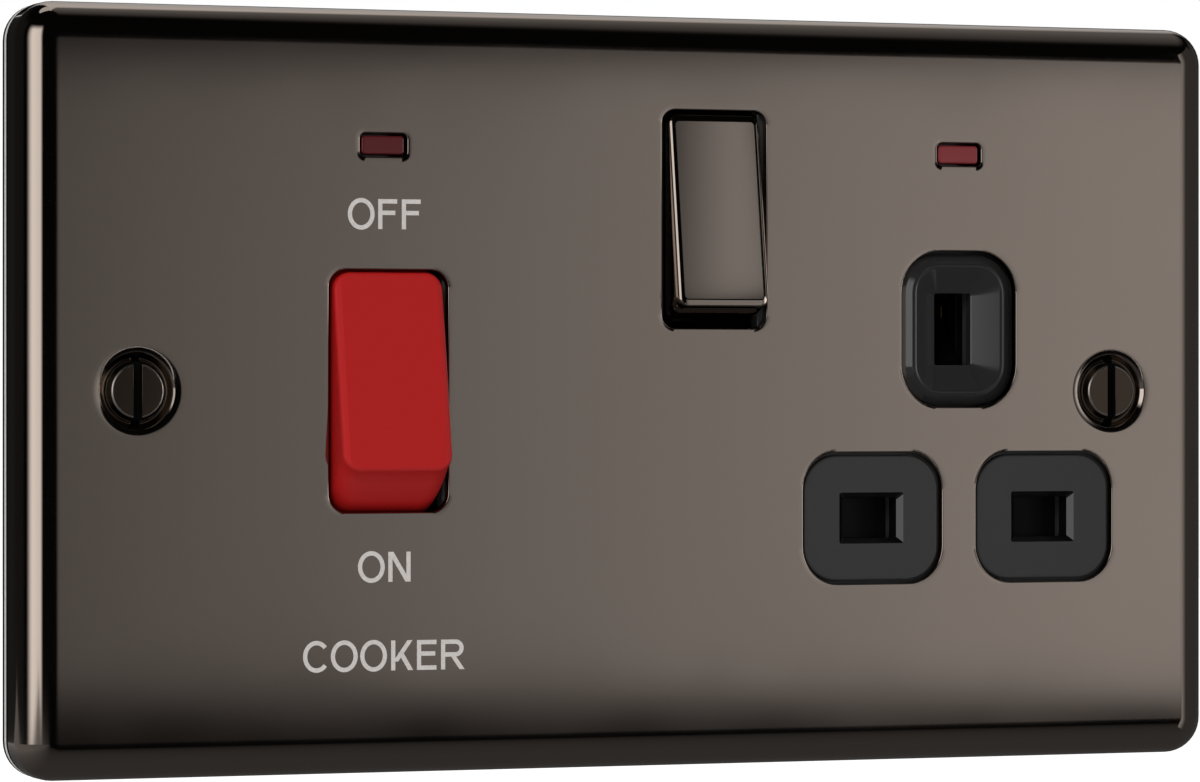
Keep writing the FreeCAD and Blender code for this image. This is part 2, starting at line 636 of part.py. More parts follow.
def rear_base():
    base = rounded_block((0, 0), BASE_WIDTH, BASE_HEIGHT, BASE_CORNER, (FLANGE_BACK, SHELF_BACK))
    base = base.fuse(hump(0, (SHELF_BACK - JOIN, HUMP_BACK)))
    room = rounded_block((0, 0), BASE_WIDTH - 2 * WALL, BASE_HEIGHT - 2 * WALL, BASE_CORNER - WALL,
                         (FLANGE_BACK - MARGIN, SHELF_FLOOR))
    room = room.fuse(hump(WALL, (SHELF_FLOOR - JOIN, HUMP_INNER)))
    for cutter in lug_cutters(WALL):
        room = room.cut(cutter)
    base = base.cut(room)
    for cutter in lug_cutters(0):
        base = base.cut(cutter)
    for x, z in CORNERS:
        height = SHELF_BACK - FLANGE_BACK
        base = base.fuse(rod((x, FLANGE_BACK, z), (0, 1, 0), NUT_RADIUS + COLUMN_WALL, height))
        base = base.cut(rod((x, FLANGE_BACK, z), (0, 1, 0), BASE_SCREW_RADIUS + BOSS_GAP, height + MARGIN))
    for x, z, floor in CARRIER_POSTS:
        base = base.fuse(box(span(x, POST), (CARRIER_BACK, floor + JOIN), span(z, POST)))
    barrier_z = SHELF_Z - WALL + JOIN
    base = base.fuse(box(span(COOKER.x, BARRIER), (ARM_DEPTH - STRAP_RISE, STRAP_FRONT - JOIN),
                         (-barrier_z, barrier_z)))
    ribs = [(COOKER.x + step * 2 * TERMINAL_OFFSET, side) for step in (-1, 0, 1) for side in (-1, 1)]
    ribs += [(x, -1) for x in (sum(EARTH_TERMINALS) / 2, EARTH_TERMINALS[1] + EARTH_WIDTH / 2 + RIB)]
    for x, side in ribs:
        z_range = sorted((side * (SHELF_Z - JOIN), side * BASE_HALF_HEIGHT))
        base = base.fuse(box(span(x, RIB), (SHELF_BACK - JOIN, SHELF_BACK + TERMINAL_DEPTH), z_range))
    slots = [(x, side, STRAP_FRONT) for x in (LINE_POLE, NEUTRAL_POLE) for side in (-1, 1)]
    slots += [(x, -1, EARTH_BAR_FRONT) for x in EARTH_TERMINALS]
    for x, side, front in slots:
        z_range = sorted((side * (SHELF_Z - WALL - MARGIN), side * (SHELF_Z + SPLIT_GAP / 2)))
        y_range = (front - BOSS_GAP, front + BAR + BOSS_GAP)
        base = base.cut(box(span(x, ARM_WIDTH + 2 * BOSS_GAP), y_range, z_range))
    return base.removeSplitter()


# Rocker mechanism, drawn level and then tilted to its off position
def tilt_rocker(shape, switch):
    return shape.rotate(Vector(switch.x, switch.pivot_y, switch.z), Vector(1, 0, 0), -switch.tilt)


def rocker_profile(switch, x):
    """Outline in the YZ plane: flat face, short drop at each ridge and round ends about the pivot."""
    def place(out, up):
        return Vector(x, switch.pivot_y - out, switch.z + up)

    def on_end(out):
        return math.sqrt(switch.end_radius ** 2 - out ** 2)

    drop = switch.face_height - RIDGE_DROP
    middle = (drop + switch.skirt) / 2
    edges = [Part.makeLine(place(switch.face_height, -switch.face_half),
                           place(switch.face_height, switch.face_half))]
    for side in (1, -1):
        ridge = place(switch.face_height, side * switch.face_half)
        edges.append(Part.makeLine(ridge, place(drop, side * on_end(drop))))
        edges.append(Part.Arc(place(drop, side * on_end(drop)), place(middle, side * on_end(middle)),
                              place(switch.skirt, side * on_end(switch.skirt))).toShape())
    low_end = on_end(switch.skirt)
    edges.append(Part.makeLine(place(switch.skirt, low_end), place(switch.skirt, -low_end)))
    return Part.Wire(Part.__sortEdges__(edges))


def rocker(switch):
    half = switch.rocker_width / 2
    body = Part.Face(rocker_profile(switch, switch.x - half)).extrude(Vector(2 * half, 0, 0))
    face_y = switch.pivot_y - switch.face_height
    skirt_y = switch.pivot_y - switch.skirt
    corners = [edge for edge in body.Edges if edge.BoundBox.XLength < 1e-4 and edge.BoundBox.YMin > face_y + 0.1
               and edge.BoundBox.YMax < skirt_y + 1e-4 and edge.BoundBox.YLength > 0.1]
    drops = [edge for edge in body.Edges if edge.BoundBox.XLength < 1e-4
             and abs(edge.BoundBox.YMin - face_y) < 1e-4 and edge.BoundBox.YLength > 0.1]
    body = body.makeChamfer(switch.end_bevel, corners + drops)
    body = body.makeChamfer(RIDGE_BEVEL, edges_at(body, face_y))
    under_cap = face_y + ROCKER_CAP
    body = body.cut(box(span(switch.x, 2 * (half - ROCKER_WALL)), (under_cap, skirt_y + MARGIN),
                        span(switch.z, 2 * (switch.face_half - ROCKER_WALL))))
    for side in (-1, 1):
        inner = switch.x + side * (half - ROCKER_WALL)
        outer = switch.x + side * half
        x_range = sorted((inner, outer))
        body = body.fuse(box(x_range, (skirt_y - JOIN, switch.pivot_y), span(switch.z, 2 * EAR_RADIUS)))
        body = body.fuse(rod((x_range[0], switch.pivot_y, switch.z), (1, 0, 0), EAR_RADIUS, ROCKER_WALL))
        body = body.fuse(rod((outer - side * JOIN, switch.pivot_y, switch.z), (side, 0, 0), TRUNNION_RADIUS,
                             CHEEK_GAP + CHEEK + JOIN))
    tube_end = switch.pivot_y + switch.reach - PLUNGER_SHOWN
    for pole in switch.poles:
        body = body.fuse(rod((switch.x + pole, under_cap - JOIN, switch.z), (0, 1, 0), TUBE_RADIUS,
                             tube_end - under_cap + JOIN))
    for pole in switch.poles:
        body = body.cut(rod((switch.x + pole, under_cap, switch.z), (0, 1, 0), PLUNGER_RADIUS + RUNNING_GAP,
                            tube_end - under_cap + MARGIN))
    return tilt_rocker(body.removeSplitter(), switch)


def plunger(switch, pole):
    tip = switch.pivot_y + switch.reach
    nose = PLUNGER_RADIUS / 2
    profile = [(0, tip - PLUNGER_LENGTH), (PLUNGER_RADIUS, tip - PLUNGER_LENGTH), (PLUNGER_RADIUS, tip - nose),
               (nose, tip), (0, tip)]
    return tilt_rocker(turned(profile, (switch.x + pole, 0, switch.z), (0, 1, 0)), switch)


def plunger_spring(switch, pole):
    start = switch.pivot_y - switch.face_height + ROCKER_CAP + RUNNING_GAP
    end = switch.pivot_y + switch.reach - PLUNGER_LENGTH - RUNNING_GAP
    radius = PLUNGER_RADIUS - SPRING_WIRE
    return tilt_rocker(coil(radius, end - start, (switch.x + pole, start, switch.z), (0, 1, 0)), switch)


def contact_arm(switch, pole):
    """See-saw arm with a silver tip at its upper end, open in the off position."""
    x = switch.x + pole
    arm = box(span(x, ARM_WIDTH), (ARM_DEPTH, ARM_BACK), span(switch.z, 2 * switch.arm_half))
    ends = [edge for edge in arm.Edges if edge.BoundBox.YLength > 0.1]
    arm = arm.makeFillet(ARM_CORNER, ends)
    tip_z = switch.z + switch.arm_half - TIP_INSET
    arm = arm.fuse(rod((x, ARM_BACK, tip_z), (0, 1, 0), TIP_RADIUS, TIP_HEIGHT))
    return arm.rotate(Vector(x, ARM_BACK, switch.z), Vector(1, 0, 0), ARM_TILT)


# Conductors
def fulcrum(x, z, front):
    """Knife edge that an arm rocks on."""
    return side_profile([(ARM_BACK + FULCRUM_GAP, z), (front, z + FULCRUM_HALF), (front, z - FULCRUM_HALF)],
                        span(x, ARM_WIDTH))


def fixed_tip(switch, x):
    z = switch.z + switch.arm_half - TIP_INSET
    return rod((x, switch.contact_level, z), (0, 1, 0), TIP_RADIUS, STRAP_FRONT - switch.contact_level)


def load_strap(pole):
    x = COOKER.x + pole
    low = COOKER.z + COOKER.arm_half - TIP_INSET - TIP_RADIUS - STRAP_END
    strap = box(span(x, ARM_WIDTH), (STRAP_FRONT, STRAP_BACK), (low, TERMINAL_Z))
    return strap.fuse(fixed_tip(COOKER, x))


def supply_strap(pole):
    x = COOKER.x + pole
    strap = box(span(x, ARM_WIDTH), (STRAP_FRONT, STRAP_BACK), (-TERMINAL_Z, COOKER.z + FULCRUM_HALF))
    return strap.fuse(fulcrum(x, COOKER.z, STRAP_FRONT))


def line_busbar():
    """From the back of the supply line strap to the fulcrum of the socket switch."""
    low = COOKER.z + FULCRUM_HALF + BAR_SPACE
    high = low + LINE_BAR_WIDTH
    left, pad = span(LINE_POLE, ARM_WIDTH)
    near, far = span(SOCKET.x, ARM_WIDTH)
    outline = [(left, COOKER.z - BAR_WIDTH), (pad, COOKER.z - BAR_WIDTH), (pad, low), (far, low),
               (far, SOCKET.z + FULCRUM_HALF), (near, SOCKET.z + FULCRUM_HALF), (near, high), (left, high)]
    bar = flat_plate(outline, (STRAP_BACK, LINE_BAR_BACK))
    return bar.fuse(fulcrum(SOCKET.x, SOCKET.z, STRAP_BACK))


def neutral_busbar():
    """Joggled strip from the back of the supply neutral strap to the neutral contact."""
    start = NEUTRAL_POLE - ARM_WIDTH / 2
    bend = NEUTRAL_POLE + ARM_WIDTH
    step = NEUTRAL_BAR_FRONT - STRAP_BACK
    path = [(start, STRAP_BACK), (bend, STRAP_BACK), (bend + step, NEUTRAL_BAR_FRONT),
            (NEUTRAL_PIN_X + CLIP_WIDTH / 2, NEUTRAL_BAR_FRONT)]
    points = path + [(x, y + BAR) for x, y in reversed(path)]
    low = LINE_PIN_Z - BAR_WIDTH / 2
    corners = [Vector(x, y, low) for x, y in points]
    return Part.Face(Part.makePolygon(corners + corners[:1])).extrude(Vector(0, 0, BAR_WIDTH))


def earth_busbar():
    """Comb with a foot at each earth terminal and a riser to the earth contact."""
    low = LINE_PIN_Z + EARTH_BAR_RISE
    high = low + BAR_WIDTH
    left = EARTH_TERMINALS[0] - ARM_WIDTH / 2
    near, far = span(SOCKET_X, BAR_WIDTH)
    top = EARTH_PIN_Z + BAR_WIDTH
    outline = [(left, low), (far, low), (far, top), (near, top), (near, high), (left, high)]
    bar = flat_plate(outline, (EARTH_BAR_FRONT, EARTH_BAR_FRONT + BAR))
    for x in EARTH_TERMINALS:
        bar = bar.fuse(box(span(x, ARM_WIDTH), (EARTH_BAR_FRONT, EARTH_BAR_FRONT + BAR), (-TERMINAL_Z, high)))
    return bar.removeSplitter()


def socket_line_strap():
    """From the fixed contact of the socket switch down to the line contact."""
    tip_z = SOCKET.z + SOCKET.arm_half - TIP_INSET
    top = tip_z + BAR_WIDTH / 2
    run = span(LINE_PIN_X - CLIP_WIDTH, BAR_WIDTH)
    low = LINE_PIN_Z - BAR_WIDTH / 2
    start = SOCKET.x - ARM_WIDTH / 2
    end = LINE_PIN_X + CLIP_WIDTH / 2
    outline = [(start, tip_z - BAR_WIDTH / 2), (run[0], tip_z - BAR_WIDTH / 2), (run[0], low), (end, low),
               (end, low + BAR_WIDTH), (run[1], low + BAR_WIDTH), (run[1], top), (start, top)]
    strap = flat_plate(outline, (STRAP_FRONT, STRAP_BACK))
    return strap.fuse(fixed_tip(SOCKET, SOCKET.x))


def pin_clip(centre, gap, mouth_y, stem_end, upright):
    """Sprung fork with a flared mouth; its stem seats on a busbar."""
    half = gap / 2
    floor = mouth_y + CLIP_DEPTH
    inner = [(mouth_y, half + CLIP_FLARE), (mouth_y + CLIP_LEAD, half), (floor, half)]
    outer = [(floor + CLIP_SHEET, half + CLIP_SHEET), (mouth_y + CLIP_LEAD, half + CLIP_SHEET),
             (mouth_y, half + CLIP_FLARE + CLIP_SHEET)]
    loop = [(y, -z) for y, z in reversed(outer)]
    loop = inner + [(y, -z) for y, z in reversed(inner)] + loop + outer
    clip = side_profile(loop, span(0, CLIP_WIDTH))
    clip = clip.fuse(box(span(0, CLIP_WIDTH), (floor, stem_end), span(0, CLIP_STEM)))
    if upright:
        clip = clip.rotate(Vector(0, 0, 0), Vector(0, 1, 0), 90)
    clip.translate(Vector(centre[0], 0, centre[1]))
    return clip


# Cable terminals: brass blocks with a blind conductor bore and a clamp screw from behind
def terminal(x, side, width, bore):
    z_range = sorted((side * TERMINAL_Z, side * (TERMINAL_Z + TERMINAL_LENGTH)))
    block = box(span(x, width), (SHELF_BACK, SHELF_BACK + TERMINAL_DEPTH), z_range)
    bore_y = SHELF_BACK + BORE_SKIN + bore
    mouth = side * (TERMINAL_Z + TERMINAL_LENGTH)
    block = block.cut(rod((x, bore_y, mouth), (0, 0, -side), bore, TERMINAL_LENGTH - BORE_FLOOR))
    screw = EARTH_SCREW if bore == EARTH_BORE else TERMINAL_SCREW
    middle = side * (TERMINAL_Z + TERMINAL_LENGTH / 2)
    return block.cut(rod((x, bore_y, middle), (0, 1, 0), screw + RUNNING_GAP, TERMINAL_DEPTH))


def terminal_screw(x, side, bore, radius, head_radius):
    """Clamp screw, backed out just clear of the conductor bore."""
    tip = SHELF_BACK + BORE_SKIN + 2 * bore + RUNNING_GAP
    seat = SHELF_BACK + TERMINAL_DEPTH + RUNNING_GAP
    top = seat + TERMINAL_HEAD_HEIGHT
    z = side * (TERMINAL_Z + TERMINAL_LENGTH / 2)
    profile = [(0, tip), (radius, tip), (radius, seat), (head_radius, seat), (head_radius, top), (0, top)]
    screw = turned(profile, (x, 0, z), (0, 1, 0))
    return screw.cut(box(span(x, 2 * head_radius + MARGIN), (top - DRIVE_DEPTH, top + MARGIN),
                         span(z, TERMINAL_DRIVE)))


# Neon indicators
def neon_lens(x):
    width, height, corner = NEON_HOLE
    light = rounded_block((x, NEON_Z), width - 2 * LENS_GAP, height - 2 * LENS_GAP, corner - LENS_GAP,
                          (FRONT + LENS_RECESS, FLANGE_BACK))
    lip = rounded_block((x, NEON_Z), width + LENS_STEP, height + LENS_STEP, corner,
                        (FLANGE_BACK, FLANGE_BACK + LENS_LIP))
    return light.fuse(lip)


def neon_lamp(x):
    half = LAMP_LENGTH / 2
    profile = [(0, -half), (LAMP_RADIUS / 3, -half), (LAMP_RADIUS, -half + LAMP_RADIUS), (LAMP_RADIUS, half),
               (0, half)]
    bulb = turned(profile, (x, LAMP_Y, NEON_Z), (1, 0, 0))
    for side in (-1, 1):
        z_range = span(NEON_Z + side * LEAD_OFFSET, LEAD)
        bulb = bulb.fuse(box((x, x + half + LEAD_REACH), span(LAMP_Y, LEAD), z_range))
    return bulb


def neon_resistor(x):
    z = NEON_Z - RESISTOR_DROP
    body = rod((x - RESISTOR_LENGTH / 2, LAMP_Y, z), (1, 0, 0), RESISTOR_RADIUS, RESISTOR_LENGTH)
    length = RESISTOR_LENGTH + 2 * LEAD_REACH
    return body.fuse(box(span(x, length), span(LAMP_Y, LEAD), span(z, LEAD)))


def build():
    cable_x = {"line": COOKER.x - TERMINAL_OFFSET, "neutral": COOKER.x + TERMINAL_OFFSET}
    nodes = {
        "face_plate": face_plate(),
        "wall_gasket": wall_gasket(),
        "fixing_screws": Part.makeCompound([fixing_screw(side) for side in (-1, 1)]),
        "weld_nuts": Part.makeCompound([weld_nut(x, z) for x, z in CORNERS]),
        "switch_yoke": switch_yoke(),
        "socket_front": socket_front(),
        "contact_carrier": contact_carrier(),
        "rear_base": rear_base(),
        "base_screws": Part.makeCompound([base_screw(x, z) for x, z in CORNERS]),
        "shutter": shutter(),
        "shutter_spring": shutter_spring(),
        "cooker_rocker": rocker(COOKER),
        "socket_rocker": rocker(SOCKET),
        "socket_plunger": plunger(SOCKET, 0.0),
        "socket_plunger_spring": plunger_spring(SOCKET, 0.0),
        "socket_contact_arm": contact_arm(SOCKET, 0.0),
        "line_busbar": line_busbar(),
        "neutral_busbar": neutral_busbar(),
        "earth_busbar": earth_busbar(),
        "socket_line_strap": socket_line_strap(),
        "line_pin_contact": pin_clip((LINE_PIN_X, LINE_PIN_Z), CLIP_GAP, CARRIER_BACK + CLIP_MOUTH, STRAP_FRONT,
                                     False),
        "neutral_pin_contact": pin_clip((NEUTRAL_PIN_X, LINE_PIN_Z), CLIP_GAP, CARRIER_BACK + CLIP_MOUTH,
                                        NEUTRAL_BAR_FRONT, False),
        "earth_pin_contact": pin_clip((SOCKET_X, EARTH_PIN_Z), CLIP_GAP,
                                      SHUTTER_FRONT + SHUTTER_TRAVEL + CLIP_MOUTH, EARTH_BAR_FRONT, True),
    }
    for name, pole in zip(("line", "neutral"), COOKER.poles):
        nodes[f"cooker_{name}_plunger"] = plunger(COOKER, pole)
        nodes[f"cooker_{name}_plunger_spring"] = plunger_spring(COOKER, pole)
        nodes[f"cooker_{name}_contact_arm"] = contact_arm(COOKER, pole)
        nodes[f"load_{name}_strap"] = load_strap(pole)
        nodes[f"supply_{name}_strap"] = supply_strap(pole)
        for role, side in (("load", 1), ("supply", -1)):
            nodes[f"{role}_{name}_terminal"] = terminal(cable_x[name], side, TERMINAL_WIDTH, TERMINAL_BORE)
    for role, x in zip(("load", "supply"), EARTH_TERMINALS):
        nodes[f"{role}_earth_terminal"] = terminal(x, -1, EARTH_WIDTH, EARTH_BORE)
    nodes["terminal_screws"] = Part.makeCompound([
        terminal_screw(x, side, TERMINAL_BORE, TERMINAL_SCREW, TERMINAL_HEAD)
        for x in cable_x.values() for side in (1, -1)])
    nodes["earth_terminal_screws"] = Part.makeCompound([
        terminal_screw(x, -1, EARTH_BORE, EARTH_SCREW, EARTH_HEAD) for x in EARTH_TERMINALS])
    for name, x in zip(("cooker", "socket"), NEON_X):
        nodes[f"{name}_neon_lens"] = neon_lens(x)
        nodes[f"{name}_neon_lamp"] = neon_lamp(x)
        nodes[f"{name}_neon_resistor"] = neon_resistor(x)
    return nodes


os.makedirs("parts", exist_ok=True)
for node_name, solid in build().items():
    solid.exportStep(f"parts/{node_name}.step")
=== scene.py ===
import json
import math

import bmesh
import bpy
from mathutils import Matrix, Vector


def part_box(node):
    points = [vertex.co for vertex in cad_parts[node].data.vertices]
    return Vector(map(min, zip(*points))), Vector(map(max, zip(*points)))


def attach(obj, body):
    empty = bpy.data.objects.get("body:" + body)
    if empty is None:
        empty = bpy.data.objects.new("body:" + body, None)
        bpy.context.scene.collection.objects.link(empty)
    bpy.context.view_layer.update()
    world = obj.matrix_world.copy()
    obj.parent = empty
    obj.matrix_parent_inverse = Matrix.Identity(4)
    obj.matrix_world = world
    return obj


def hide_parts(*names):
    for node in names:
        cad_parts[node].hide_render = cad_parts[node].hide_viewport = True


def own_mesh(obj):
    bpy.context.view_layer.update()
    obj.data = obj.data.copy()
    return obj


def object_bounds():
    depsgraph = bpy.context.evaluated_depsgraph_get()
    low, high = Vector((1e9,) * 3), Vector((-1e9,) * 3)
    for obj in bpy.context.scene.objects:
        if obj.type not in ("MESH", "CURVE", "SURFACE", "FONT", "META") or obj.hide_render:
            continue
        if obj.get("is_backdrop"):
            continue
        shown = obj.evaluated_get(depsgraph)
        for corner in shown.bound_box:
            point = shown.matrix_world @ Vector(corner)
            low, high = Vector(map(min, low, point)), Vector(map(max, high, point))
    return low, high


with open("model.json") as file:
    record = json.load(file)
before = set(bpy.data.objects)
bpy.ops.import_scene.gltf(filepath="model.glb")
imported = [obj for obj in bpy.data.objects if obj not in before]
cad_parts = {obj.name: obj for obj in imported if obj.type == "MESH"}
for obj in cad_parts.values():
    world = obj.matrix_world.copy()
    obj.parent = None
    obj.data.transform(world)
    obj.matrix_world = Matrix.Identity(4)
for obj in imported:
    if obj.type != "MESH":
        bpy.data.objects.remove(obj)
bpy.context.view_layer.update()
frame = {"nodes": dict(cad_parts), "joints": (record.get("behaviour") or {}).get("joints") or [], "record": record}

# Face plate: a steel sheet pressed into a shallow tray with a rolled edge, seven windows and two dimples.
# The windows are punched from the front, which rounds their edges; all of it is polished and nickel plated.
# Two screws through the dimples hold it, with all that it carries, to the wall box.
MM = 0.001
plate_low, plate_high = (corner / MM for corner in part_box("face_plate"))
FRONT = plate_low.y
RIM = plate_high.y
PLATE_WIDTH = plate_high.x - plate_low.x
PLATE_HEIGHT = plate_high.z - plate_low.z
PLATE_CORNER = 4.3
SHEET = 1.2
SHEET_BACK = FRONT + SHEET
EDGE_ROLL = 3.8
INSIDE_ROLL = EDGE_ROLL - SHEET
RIM_ROUND = 0.45
ROLL_STEPS = 20
EDGE_STEPS = 6
CORNER_STEPS = 10
CIRCLE_STEPS = 64
FLAT_MARGIN = 0.5
PUNCHED_ROUND = 0.14
FIXING_X = 60.3
DIMPLE_RADIUS = 4.45
DIMPLE_HOLE = 1.9
DIMPLE_BENDS = ((0.06, 8.0, 45.0), (6.0, 0.0, 8.0))
DIMPLE_STEPS = 6
DIMPLE_BACK = FRONT + DIMPLE_RADIUS - DIMPLE_HOLE + SHEET / 2
COOKER_X = -30.7
NEON_Z = 27.9
SOCKET_SWITCH = (9.2, 19.9)
SOCKET_X = 40.4
COOKER_HOLE = ((COOKER_X, 0.0), 14.3, 27.54, 2.1)
SOCKET_HOLE = (SOCKET_SWITCH, 13.1, 25.33, 1.7)
PIN_HOLES = [((x, -14.9), 17.8, 15.4, 4.4) for x in (29.3, 51.5)]
EARTH_HOLE = ((SOCKET_X, 7.3), 14.8, 18.4, 5.0)
NEON_HOLES = {"cooker": ((-31.3, NEON_Z), 5.7, 2.7, 0.7), "socket": ((SOCKET_X, NEON_Z), 5.7, 2.7, 0.7)}
BODY_OF = {node: body for body, nodes in frame["record"]["behaviour"]["bodies"].items() for node in nodes}
NOISE_SPAN = (0.3, 0.7)


def linear(code):
    """Linear colour of an sRGB hex value."""
    levels = [int(code[at:at + 2], 16) / 255 for at in (0, 2, 4)]
    shades = [level / 12.92 if level <= 0.04045 else ((level + 0.055) / 1.055) ** 2.4 for level in levels]
    return (*shades, 1.0)


def add_node(tree, kind, settings, inputs):
    """Adds one node with its settings; an input takes a value, an output of a node or a list of them."""
    node = tree.nodes.new(kind)
    for name, value in settings.items():
        setattr(node, name, value)
    for name, value in inputs.items():
        for source in value if isinstance(value, list) else [value]:
            if isinstance(source, bpy.types.NodeSocket):
                tree.links.new(source, node.inputs[name])
            else:
                node.inputs[name].default_value = source
    return node


def start_material(name, code, values):
    """Material with one Principled shader, whose constants sit on its own sockets."""
    material = bpy.data.materials.new(name)
    material.use_nodes = True
    shader = material.node_tree.nodes["Principled BSDF"]
    shader.inputs["Base Color"].default_value = linear(code)
    for socket, value in values.items():
        shader.inputs[socket].default_value = value
    return material


def grain(material, size, height, stretch=(1.0, 1.0, 1.0)):
    """Humps of a real size and height in millimetres, longer where stretched; gives their pattern."""
    tree = material.node_tree
    place = add_node(tree, "ShaderNodeTexCoord", {}, {})
    scale = tuple(1 / (size * MM * along) for along in stretch)
    drawn = add_node(tree, "ShaderNodeMapping", {}, {"Vector": place.outputs["Object"], "Scale": scale})
    noise = add_node(tree, "ShaderNodeTexNoise", {}, {"Vector": drawn.outputs[0], "Scale": 1.0})
    bump = add_node(tree, "ShaderNodeBump", {}, {"Height": noise.outputs[0], "Distance": height * MM})
    tree.links.new(bump.outputs[0], tree.nodes["Principled BSDF"].inputs["Normal"])
    return noise.outputs[0]


def graded(tree, value, values, levels=(0.0, 1.0), way="LINEAR"):
    """Level that runs from one to another as a value passes between two."""
    inputs = {"Value": value, "From Min": values[0], "From Max": values[1]}
    inputs.update({"To Min": levels[0], "To Max": levels[1]})
    return add_node(tree, "ShaderNodeMapRange", {"interpolation_type": way}, inputs).outputs[0]


def vary(material, pattern, socket, low, high):
    """Lets a pattern carry one of the shader's sockets between two values, or two hex colours."""
    tree = material.node_tree
    if isinstance(low, str):
        colours = {0: graded(tree, pattern, NOISE_SPAN), 6: linear(low), 7: linear(high)}
        level = add_node(tree, "ShaderNodeMix", {"data_type": "RGBA"}, colours).outputs[2]
    else:
        level = graded(tree, pattern, NOISE_SPAN, (low, high))
    tree.links.new(level, tree.nodes["Principled BSDF"].inputs[socket])


def rounded_outline(centre, width, height, corner, grow=0.0):
    """Points (x, z) of a rounded rectangle, grown outwards by a margin."""
    radius = max(corner + grow, 0.02)
    points = []
    for quarter, (side, rise) in enumerate(((1, 1), (-1, 1), (-1, -1), (1, -1))):
        middle_x = centre[0] + side * (width / 2 + grow - radius)
        middle_z = centre[1] + rise * (height / 2 + grow - radius)
        for step in range(CORNER_STEPS + 1):
            angle = math.radians(90 * (quarter + step / CORNER_STEPS))
            points.append((middle_x + radius * math.cos(angle), middle_z + radius * math.sin(angle)))
    return points


def round_outline(centre, radius, steps=CIRCLE_STEPS):
    """Points (x, z) of a circle."""
    turns = [2 * math.pi * step / steps for step in range(steps)]
    return [(centre[0] + radius * math.cos(turn), centre[1] + radius * math.sin(turn)) for turn in turns]


def add_ring(mesh, outline, depth):
    return [mesh.verts.new((x * MM, depth * MM, z * MM)) for x, z in outline]


def bridge(mesh, near, far):
    """Band of faces between two rings of equal count."""
    return [mesh.faces.new((near[at - 1], near[at], far[at], far[at - 1])) for at in range(len(near))]


def loft(mesh, rings):
    for near, far in zip(rings, rings[1:]):
        bridge(mesh, near, far)


def fill(mesh, rings):
    """Flat face inside the first ring, with the other rings as holes in it."""
    edges = []
    for ring in rings:
        edges += [mesh.edges.get((ring[at - 1], ring[at])) for at in range(len(ring))]
    bmesh.ops.triangle_fill(mesh, use_beauty=True, edges=edges, normal=(0, -1, 0))


def linked(name, data):
    """New object in the scene, made of a mesh, a lamp or a camera."""
    piece = bpy.data.objects.new(name, data)
    bpy.context.scene.collection.objects.link(piece)
    return piece


def object_of(name, mesh, material):
    data = bpy.data.meshes.new(name)
    mesh.to_mesh(data)
    mesh.free()
    data.materials.append(material)
    return linked(name, data)


def creased(piece, crease):
    """Smooth shading, with crisp edges past the crease angle."""
    piece.data.shade_smooth()
    piece.data.set_sharp_from_angle(angle=math.radians(crease))
    return piece


def level_flats(piece):
    """Keeps flat faces level up to their edges."""
    piece.modifiers.new("level_flats", "WEIGHTED_NORMAL").keep_sharp = True
    return piece


def make_piece(name, mesh, material, crease=38.0):
    """Closed mesh as a smooth piece, with its faces turned outwards."""
    bmesh.ops.recalc_face_normals(mesh, faces=mesh.faces)
    return level_flats(creased(object_of(name, mesh, material), crease))


def stand_for(piece, *nodes):
    """The piece takes the place of CAD nodes, on their body."""
    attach(piece, BODY_OF[nodes[0]])
    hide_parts(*nodes)


def rounding(radius, steps=EDGE_STEPS):
    """Steps (back, in) of a round edge, from its side to its front."""
    turns = [math.radians(90 * step / steps) for step in range(steps + 1)]
    return [(radius * (1 - math.sin(turn)), radius * (1 - math.cos(turn))) for turn in turns]


def punched_hole(mesh, hole):
    """Window with the round edge that a punch leaves; gives its front and back rings."""
    profile = [(PUNCHED_ROUND + FLAT_MARGIN, FRONT)]
    profile += [(into, FRONT + back) for back, into in reversed(rounding(PUNCHED_ROUND))]
    profile.append((0.0, SHEET_BACK))
    rings = [add_ring(mesh, rounded_outline(*hole, grow), depth) for grow, depth in profile]
    loft(mesh, rings)
    return rings[0], rings[-1]


def screw_dimple(mesh, centre):
    """Cone pressed into the sheet with a soft shoulder, and the bulge that it makes behind."""
    profile = [(DIMPLE_HOLE, FRONT + DIMPLE_RADIUS - DIMPLE_HOLE)]
    depth = 0.0
    for bend, low, high in DIMPLE_BENDS:
        depth += bend * (math.cos(math.radians(low)) - math.cos(math.radians(high)))
    radius = DIMPLE_RADIUS - depth
    for bend, low, high in DIMPLE_BENDS:
        for step in range(DIMPLE_STEPS + 1):
            turn = math.radians(high + (low - high) * step / DIMPLE_STEPS)
            out = bend * (math.sin(math.radians(high)) - math.sin(turn))
            rise = bend * (math.cos(turn) - math.cos(math.radians(high)))
            profile.append((radius + out, FRONT + depth - rise))
        radius, depth = profile.pop()[0], depth - rise
    profile += [(radius, FRONT), (radius + FLAT_MARGIN, FRONT)]
    profile.reverse()
    profile.append((DIMPLE_HOLE, DIMPLE_BACK))
    profile.append((DIMPLE_HOLE + SHEET, DIMPLE_BACK))
    profile.append((DIMPLE_RADIUS + SHEET / 2, SHEET_BACK))
    rings = [add_ring(mesh, round_outline(centre, radius), depth) for radius, depth in profile]
    loft(mesh, rings)
    return rings[0], rings[-1]


def plate_outline(inset):
    return rounded_outline((0, 0), PLATE_WIDTH, PLATE_HEIGHT, PLATE_CORNER, -inset)


# Polished black nickel is a warm dark mirror; the pressed sheet under it is never quite flat, which is
# drawn as long shallow waves, and a trace of haze from the polishing wheel softens what it mirrors.
black_nickel = start_material("polished_black_nickel", "9b8f86", {"Metallic": 1.0, "Roughness": 0.06})
vary(black_nickel, grain(black_nickel, 22.0, 0.002), "Roughness", 0.05, 0.075)

